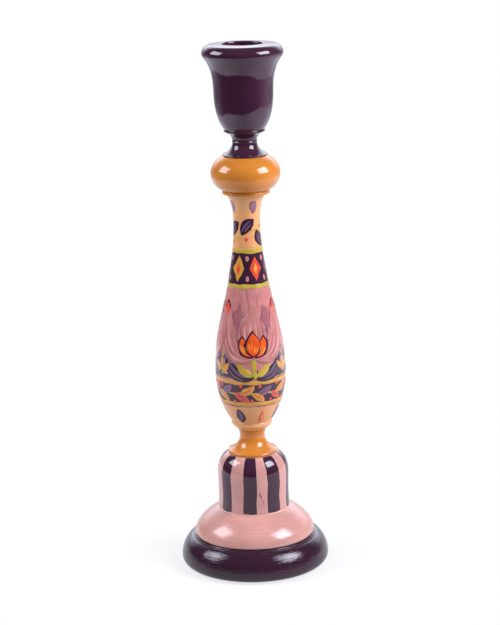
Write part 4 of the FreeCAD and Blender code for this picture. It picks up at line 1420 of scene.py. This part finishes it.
def brush_stripes(skin, sizes):
    """Brushes the upright stripes, two slips of the brush beside them, and a painted highlight: a pale line
    along the crease.
    """
    painter = Painter("drum", skin, seed=4)
    foot = skin.reach(DOME_Z) + sizes.foot_gap
    for number in range(sizes.number):
        drift = STRIPE_DRIFT_SHARES[number % len(STRIPE_DRIFT_SHARES)]
        middle = sizes.first + around(number + drift, sizes.number)
        half = sizes.width / 2 * painter.pick(STRIPE_WIDTH_SHARES)
        seed = painter.pick(SEEDS)
        slip = painter.pick(STRIPE_FOOT_SLIPS)
        painter.upright("stripe", middle, half, foot + slip, skin.lengths[-1], seed)
    for points, layer in BRUSH_SLIPS:
        painter.stroke(Spot(SLIP_ANGLE, DOME_Z), bend(points), layer)
    # Painted highlight: a pale line in the crease, where a paint fillet would catch the light
    painter.ring("cream", DOME_Z + sizes.crease_highlight / 2, sizes.crease_highlight / MM, wobble=LINE_WOBBLE)
    painter.done()


def draw_leaf_ring(skin, sizes):
    """A ring of broad upright leaves round the foot, coral and dark in turn, with bare paint at the front."""
    painter = Painter("leaf_ring", skin, seed=11)
    for number in range(sizes.leaf_ring_number):
        angle = around(number + LEAF_RING_START + painter.stray(LEAF_RING_STRAY), sizes.leaf_ring_number)
        spot = Spot(angle, sizes.leaf_ring_z, painter.stray(LEAF_RING_LEAN))
        share, *layers = LEAF_RING_KINDS[number % len(LEAF_RING_KINDS)]
        tall = sizes.leaf_ring_height / MM * share
        for points, layer in zip(LEAF_RING_WAYS, layers):
            painter.stroke(spot, bend([(x, y + up * tall) for x, y, up in points]), layer)
    painter.done()


def draw_wreath(skin, sizes):
    """A dark band with a laurel wreath of honey, mauve and coral leaves and small berries."""
    painter = Painter("wreath", skin, seed=23)
    painter.band(sizes.wreath_z, sizes.wreath_height, WREATH_EDGES)
    painter.ring("olive", sizes.wreath_z, WREATH_STEM_WIDTH, coat=2)
    for number in range(sizes.wreath_number):
        angle = around(number + painter.stray(WREATH_STRAY), sizes.wreath_number)
        for up in (0, 1):
            tilt = painter.stray(WREATH_LEAN)
            spot = Spot(angle + up * WREATH_UPPER_TURN, sizes.wreath_z, tilt, painter.pick(WREATH_SCALES))
            rise = 2 * up - 1
            colours = WREATH_COLOURS[(2 * number + up) % len(WREATH_COLOURS)]
            layers = [layer.over(up, colour) for layer, colour in zip(WREATH_LEAF_LAYERS, colours)]
            painter.strokes(spot, WREATH_LEAF, layers, rise)
            painter.dab(spot, (WREATH_BERRY[0], rise * WREATH_BERRY[1]), WREATH_BERRY_LAYER)
    painter.done()


def draw_ground(skin, sizes):
    """The pink ground behind the tulips, in broad upright strokes with round ends, over a dark edge."""
    painter = Painter("ground", skin, seed=31)
    painter.ring("aubergine", sizes.ground_z + GROUND_FOOT, GROUND_FOOT_WIDTH)
    painter.ring("petal", sizes.ground_top_z - GROUND_TOP, GROUND_TOP_WIDTH, coat=0.5)
    foot, top = skin.reach(sizes.ground_z), skin.reach(sizes.ground_top_z)
    step = around(1, sizes.ground_number)
    for number in range(sizes.ground_number):
        low = foot + painter.pick(GROUND_FOOT_SLIPS)
        high = top - painter.pick(GROUND_TOP_SLIPS)
        painter.upright("petal", number * step, step * GROUND_SPREAD, low, high, painter.pick(SEEDS),
                        coat=2 + number % 2, wobble=0.1, blunt=8, steps=44, rows=8)
    for number in range(GROUND_STREAKS):
        height = sizes.ground_z + painter.pick(STREAK_LEVELS) * (sizes.ground_top_z - sizes.ground_z)
        spot = Spot(around(number, GROUND_STREAKS), height, painter.stray(STREAK_LEAN))
        run = painter.pick(STREAK_RUNS)
        way = bend(((0, 0), (painter.stray(STREAK_BEND), run / 2), (0, run)))
        colour = STREAK_COLOURS[number % len(STREAK_COLOURS)]
        painter.stroke(spot, way, Layer(colour, painter.pick(STREAK_WIDTHS), 4, steps=12, rows=3))
    painter.done()


def draw_tulips(skin, sizes):
    """Tulips round the stem, each with streaked petals, a flame heart, a stem and two pairs of leaves."""
    painter = Painter("tulips", skin, seed=37)
    for number in range(sizes.tulip_number):
        angle = sizes.tulip_first + around(number, sizes.tulip_number)
        spot = Spot(angle, sizes.tulip_z, painter.stray(TULIP_LEAN), sizes.tulip_height / MM / TULIP_UNITS)
        painter.strokes(spot, *TULIP_STEM)
        for side in spot.sides():
            for leaf in TULIP_LEAVES:
                painter.strokes(side, *leaf)
        for side in spot.sides():
            for petal in TULIP_SIDE_PETALS:
                draw_petal(painter, side, *petal)
        draw_petal(painter, spot, *TULIP_FRONT_PETAL)
        for petal in HEART_PETALS:
            draw_heart_petal(painter, spot, *petal)
    painter.done()


def draw_petal(painter, spot, points, width, coat, fill, streaks):
    """One petal with a mauve edge and soft streaks in three tones that follow it."""
    petal = PETAL_LAYER._replace(colour=fill, width=width, coat=coat + 1)
    edge = petal._replace(colour="mauve", width=width + PETAL_EDGE, coat=coat)
    painter.strokes(spot, points, (edge, petal))
    for number in range(streaks):
        shift = (2 * (number + 0.5) / streaks - 1) * width * PETAL_STREAK_SPREAD
        colour = PETAL_STREAK_COLOURS[number % len(PETAL_STREAK_COLOURS)]
        draw_streak(painter, spot, points, PETAL_STREAK.over(coat, colour), shift, PETAL_STREAK_SPANS)


def draw_heart_petal(painter, spot, lean, tall, width, coat):
    """One flame-coloured inner petal of a tulip, with light strokes and a dark edge."""
    points = [(lean * out, foot + up * tall) for out, foot, up in HEART_WAY]
    petal = HEART_LAYER._replace(width=width, coat=coat + 1)
    edge = petal._replace(colour="aubergine", width=width + HEART_EDGE, coat=coat, part=(0.0, 1.0))
    painter.strokes(spot, points, (edge, petal))
    for number in range(HEART_DABS):
        shift = (number - (HEART_DABS - 1) / 2) * width * HEART_DAB_SPREAD
        draw_streak(painter, spot, points, HEART_DAB.over(coat), shift, HEART_DAB_SPANS)


def draw_streak(painter, spot, points, layer, shift, spans):
    """One streak beside a way. Its start, its run and its width are left to chance within their spans."""
    start, run, width = (painter.pick(span) for span in spans)
    painter.stroke(spot, bend(points), layer._replace(width=width, shift=shift, part=(start, start + run)))


def draw_sprigs(skin, sizes):
    """A slim sprig between each two tulips, with a coral bud and pairs of small leaves."""
    painter = Painter("sprigs", skin, seed=41)
    for number in range(sizes.tulip_number):
        angle = sizes.tulip_first + around(number + 0.5, sizes.tulip_number)
        spot = Spot(angle, sizes.tulip_z, painter.stray(SPRIG_LEAN))
        painter.strokes(spot, *SPRIG_STEM)
        for pair in range(SPRIG_PAIRS):
            foot = SPRIG_FIRST_PAIR + pair * SPRIG_PAIR_GAP
            reach = SPRIG_REACH - pair * SPRIG_TAPER
            points = [(across + share * reach, foot + up) for across, share, up in SPRIG_LEAF]
            for side in spot.sides():
                painter.stroke(side, bend(points), SPRIG_LEAF_LAYERS[pair % len(SPRIG_LEAF_LAYERS)])
        for points, layer in SPRIG_BUD:
            painter.stroke(spot, bend(points), layer)
    painter.done()


def draw_lozenges(skin, sizes):
    """A dark band with tall upright lozenges between ring lines."""
    painter = Painter("lozenges", skin, seed=53)
    painter.band(sizes.lozenge_z, sizes.lozenge_height, LOZENGE_EDGES)
    for number in range(sizes.lozenge_number):
        angle = around(number + LOZENGE_START + painter.stray(LOZENGE_STRAY), sizes.lozenge_number)
        scale = 1.0 - LOZENGE_SHRINK * painter.chance.random()
        spot = Spot(angle, sizes.lozenge_z, painter.stray(LOZENGE_LEAN), scale)
        colours = LOZENGE_COLOURS[number % len(LOZENGE_COLOURS)]
        for (points, layer), colour in zip(LOZENGE, colours):
            painter.stroke(spot, bend(points), layer._replace(colour=colour))
        between = Spot(angle + math.pi / sizes.lozenge_number, sizes.lozenge_z)
        for height in LOZENGE_DABS:
            painter.dab(between, (0, height), LOZENGE_DAB_LAYER, stretch=1.6)
    painter.done()


def draw_vine(skin, sizes):
    """A vine that climbs round the neck, with broad dark leaves, and a ring of drops at its top."""
    painter = Painter("vine", skin, seed=67)
    climb = sizes.vine_height / MM
    radius = skin.at(skin.reach(sizes.vine_z + sizes.vine_height / 2))[0].x / MM

    def way(share):
        return Vector((share * VINE_TURN * radius, share * climb + VINE_SWAY * math.sin(share * VINE_SWAYS)))
    painter.stroke(Spot(VINE_FIRST, sizes.vine_z), way, VINE_LAYER)
    for number in range(VINE_LEAVES):
        share = (number + 0.5) / VINE_LEAVES
        foot = way(share)
        rise = 1 if share < 0.5 else -1
        spot = Spot(VINE_FIRST + foot.x / radius, sizes.vine_z + foot.y * MM, painter.stray(VINE_LEAN))
        painter.strokes(spot, *VINE_LEAF, rise)
        painter.dab(spot, (VINE_BERRY[0], rise * VINE_BERRY[1]), VINE_BERRY_LAYER)
    for number in range(DROPS):
        angle = around(number + DROP_START + painter.stray(DROP_STRAY), DROPS)
        spot = Spot(angle, sizes.vine_z + DROP_RISE, painter.stray(VINE_LEAN))
        painter.strokes(spot, *DROP)
    painter.done()


class CANDLESTICK_OT_studio(bpy.types.Operator):
    """Sets up the camera, two softboxes, the room's light and the white table."""

    bl_idname = "candlestick.studio"
    bl_label = "Studio"

    def execute(self, context):
        sizes = context.scene.candlestick.studio
        set_camera(context, sizes)
        set_lamp(context, "softbox_left", LEFT_PLACE, sizes.left_width, sizes.left_power)
        set_lamp(context, "softbox_right", RIGHT_PLACE, sizes.right_width, sizes.right_power)
        set_room(context, sizes)
        set_table(context, sizes)
        context.scene.view_settings.view_transform = "Standard"
        return {"FINISHED"}


def set_camera(context, sizes):
    """Stands the camera in front of the stick, looking slightly down."""
    camera = bpy.data.cameras.new("camera")
    camera.lens = LENS
    camera.sensor_width = SENSOR_WIDTH
    camera.clip_end = CLIP_END
    stand = bpy.data.objects.new("camera", camera)
    context.scene.collection.objects.link(stand)
    place = Matrix.Translation((CAMERA_SIDE, -sizes.camera_distance, sizes.camera_height))
    pitch = Matrix.Rotation(math.pi / 2 - sizes.camera_pitch, 4, "X")
    stand.matrix_world = place @ (pitch @ Matrix.Rotation(-sizes.camera_roll, 4, "Z"))
    context.scene.camera = stand


def set_lamp(context, name, place, width, power):
    """Hangs one nearly square softbox that faces the stick."""
    lamp = bpy.data.lights.new(name, "AREA")
    lamp.shape = "RECTANGLE"
    lamp.size = width
    lamp.size_y = width * SOFTBOX_SHARE
    lamp.energy = power
    lamp.color = linear(COOL_WHITE)[:3]
    stand = bpy.data.objects.new(name, lamp)
    context.scene.collection.objects.link(stand)
    away = Vector(place) - Vector((0, 0, AIM_Z))
    stand.matrix_world = Matrix.Translation(place) @ away.to_track_quat("Z", "Y").to_matrix().to_4x4()
    stand.visible_camera = False


def set_room(context, sizes):
    """The room: white to the camera, even for soft light, and dark towards the camera in reflections."""
    world = bpy.data.worlds.new("room")
    context.scene.world = world
    world.use_nodes = True
    tree = world.node_tree
    tree.nodes.clear()
    ray = add_node(tree, "ShaderNodeLightPath").outputs
    direction = add_node(tree, "ShaderNodeTexCoord").outputs["Generated"]
    facing = add_node(tree, "ShaderNodeVectorMath", {
        0: direction, 1: ROOM_DIRECTION}, operation="DOT_PRODUCT")
    wall = add_node(tree, "ShaderNodeMapRange", {
        "Value": facing.outputs["Value"], "From Min": ROOM_SPREAD[0], "From Max": ROOM_SPREAD[1],
        "To Min": ROOM_DARK, "To Max": 1.0}, interpolation_type="SMOOTHSTEP")
    up = add_node(tree, "ShaderNodeSeparateXYZ", {0: direction})
    ceiling = add_node(tree, "ShaderNodeMapRange", {
        "Value": up.outputs["Z"], "From Min": CEILING_SPREAD[0], "From Max": CEILING_SPREAD[1],
        "To Min": 1.0, "To Max": CEILING_GAIN}, interpolation_type="SMOOTHSTEP")
    bright = add_node(tree, "ShaderNodeMath", {
        0: wall, 1: ceiling}, operation="MULTIPLY")
    seen = add_node(tree, "ShaderNodeBackground", {"Color": WHITE, "Strength": 1.0})
    mirrored = add_node(tree, "ShaderNodeBackground", {
        "Color": linear(COOL_WHITE), "Strength": bright})
    soft = add_node(tree, "ShaderNodeBackground", {"Color": WHITE, "Strength": sizes.fill})
    lit = add_node(tree, "ShaderNodeMixShader", {
        0: ray["Is Diffuse Ray"], 1: mirrored, 2: soft})
    either = add_node(tree, "ShaderNodeMixShader", {
        0: ray["Is Camera Ray"], 1: lit, 2: seen})
    add_node(tree, "ShaderNodeOutputWorld", {"Surface": either})


def white_sheet(sizes):
    """White paper: it takes the soft shadow near the foot, and fades to plain white further out. In
    reflections it is a painted glow, brighter beside the stick.
    """
    material, tree = new_material("white_paper")
    ray = add_node(tree, "ShaderNodeLightPath").outputs
    place = add_node(tree, "ShaderNodeTexCoord").outputs["Object"]
    parts = add_node(tree, "ShaderNodeSeparateXYZ", {0: place})
    away = add_node(tree, "ShaderNodeVectorMath", {0: place}, operation="LENGTH")
    far = add_node(tree, "ShaderNodeMapRange", {
        "Value": away.outputs["Value"], "From Min": SHADOW_SPREAD[0], "From Max": SHADOW_SPREAD[1],
        "To Min": SHADOW_FADE}, interpolation_type="SMOOTHSTEP")
    near = add_node(tree, "ShaderNodeMath", {0: parts.outputs["Y"], 1: 0.0}, operation="MINIMUM")
    shifted = add_node(tree, "ShaderNodeMath", {0: parts.outputs["X"], 1: SHEET_SHIFT}, operation="SUBTRACT")
    forward = add_node(tree, "ShaderNodeCombineXYZ", {"X": shifted, "Y": near})
    scaled = add_node(tree, "ShaderNodeVectorMath", {
        0: forward, 1: (SHEET_SIDE_SHARE, 1.0, 1.0)}, operation="MULTIPLY")
    reach = add_node(tree, "ShaderNodeVectorMath", {0: scaled}, operation="LENGTH")
    heading = add_node(tree, "ShaderNodeVectorMath", {0: place}, operation="NORMALIZE")
    behind = add_node(tree, "ShaderNodeVectorMath", {
        0: heading, 1: SHEET_DIRECTION}, operation="DOT_PRODUCT")
    floor = add_node(tree, "ShaderNodeMapRange", {
        "Value": behind.outputs["Value"], "From Min": SHEET_SPREAD[0], "From Max": SHEET_SPREAD[1],
        "To Min": SHEET_DARK, "To Max": 1.0}, interpolation_type="SMOOTHSTEP")
    # Painted glow: in reflections the sheet is brighter beside the stick, as lamp-lit paper would be
    aside = add_node(tree, "ShaderNodeMath", {0: parts.outputs["X"]}, operation="ABSOLUTE")
    painted_lamp_glow = add_node(tree, "ShaderNodeMapRange", {
        "Value": aside, "From Min": SHEET_SIDE_SPREAD[0], "From Max": SHEET_SIDE_SPREAD[1],
        "To Min": 1.0, "To Max": SHEET_SIDE_GLOW_GAIN})
    front = add_node(tree, "ShaderNodeMapRange", {
        "Value": reach.outputs["Value"], "From Min": sizes.sheet_reach,
        "From Max": sizes.sheet_reach + SHEET_EDGE, "To Min": painted_lamp_glow, "To Max": floor},
        interpolation_type="SMOOTHSTEP")
    back = add_node(tree, "ShaderNodeMapRange", {
        "Value": parts.outputs["Y"], "From Min": SHEET_BACK_SPREAD[0], "From Max": SHEET_BACK_SPREAD[1],
        "To Min": 1.0, "To Max": SHEET_BACK_GAIN}, interpolation_type="SMOOTHSTEP")
    bright = add_node(tree, "ShaderNodeMath", {0: front, 1: back}, operation="MULTIPLY")
    paper = add_node(tree, "ShaderNodeBsdfDiffuse", {"Color": PAPER_GREY})
    dim = add_node(tree, "ShaderNodeBsdfDiffuse", {"Color": BOUNCE_GREY})
    plain = add_node(tree, "ShaderNodeEmission", {"Color": WHITE, "Strength": 1.0})
    mirrored = add_node(tree, "ShaderNodeEmission", {
        "Color": linear(COOL_WHITE), "Strength": bright})
    seen = add_node(tree, "ShaderNodeMixShader", {
        0: far, 1: paper, 2: plain})
    unseen = add_node(tree, "ShaderNodeMixShader", {
        0: ray["Is Glossy Ray"], 1: dim, 2: mirrored})
    sheet = add_node(tree, "ShaderNodeMixShader", {
        0: ray["Is Camera Ray"], 1: unseen, 2: seen})
    add_node(tree, "ShaderNodeOutputMaterial", {"Surface": sheet})
    return material


def set_table(context, sizes):
    """The white sheet that the stick stands on."""
    mesh = bmesh.new()
    bmesh.ops.create_grid(mesh, x_segments=1, y_segments=1, size=TABLE_SIDE / 2)
    bmesh.ops.translate(mesh, verts=mesh.verts, vec=(0, 0, -TABLE_DROP))
    data = bpy.data.meshes.new("table")
    mesh.to_mesh(data)
    mesh.free()
    data.materials.append(white_sheet(sizes))
    table = bpy.data.objects.new("table", data)
    context.scene.collection.objects.link(table)


class CANDLESTICK_PT_panel(bpy.types.Panel):
    """Lists the candlestick's pieces and their settings."""

    bl_idname = "CANDLESTICK_PT_panel"
    bl_label = "Candlestick"
    bl_space_type = "VIEW_3D"
    bl_region_type = "UI"
    bl_category = "Candlestick"

    def draw(self, context):
        settings = context.scene.candlestick
        for operator in OPERATORS:
            self.layout.operator(operator.bl_idname)
        for group in settings.bl_rna.properties:
            if group.type != "POINTER" or group.identifier == "rna_type":
                continue
            box = self.layout.box()
            box.label(text=group.name)
            for size in getattr(settings, group.identifier).bl_rna.properties:
                if size.identifier not in ("rna_type", "name"):
                    box.prop(getattr(settings, group.identifier), size.identifier)


OPERATORS = (
    CANDLESTICK_OT_plinth, CANDLESTICK_OT_cushion, CANDLESTICK_OT_dome, CANDLESTICK_OT_collar,
    CANDLESTICK_OT_baluster, CANDLESTICK_OT_knop, CANDLESTICK_OT_cup, CANDLESTICK_OT_core,
    CANDLESTICK_OT_studio)
CLASSES = (
    PlinthSizes, CushionSizes, DomeSizes, CollarSizes, BalusterSizes, KnopSizes, CupSizes, StripeSizes,
    PaintingSizes, PaintColours, StudioSettings, CandlestickSettings, *OPERATORS, CANDLESTICK_PT_panel)


def register():
    """Adds the settings, the operators and the panel to Blender."""
    for kind in CLASSES:
        bpy.utils.register_class(kind)
    bpy.types.Scene.candlestick = bpy.props.PointerProperty(name="Candlestick", type=CandlestickSettings)


def unregister():
    """Takes them away again."""
    del bpy.types.Scene.candlestick
    for kind in reversed(CLASSES):
        bpy.utils.unregister_class(kind)


def main():
    """Builds every piece and the studio."""
    register()
    for operator in OPERATORS:
        group, name = operator.bl_idname.split(".")
        getattr(getattr(bpy.ops, group), name)()


if __name__ == "__main__":
    main()
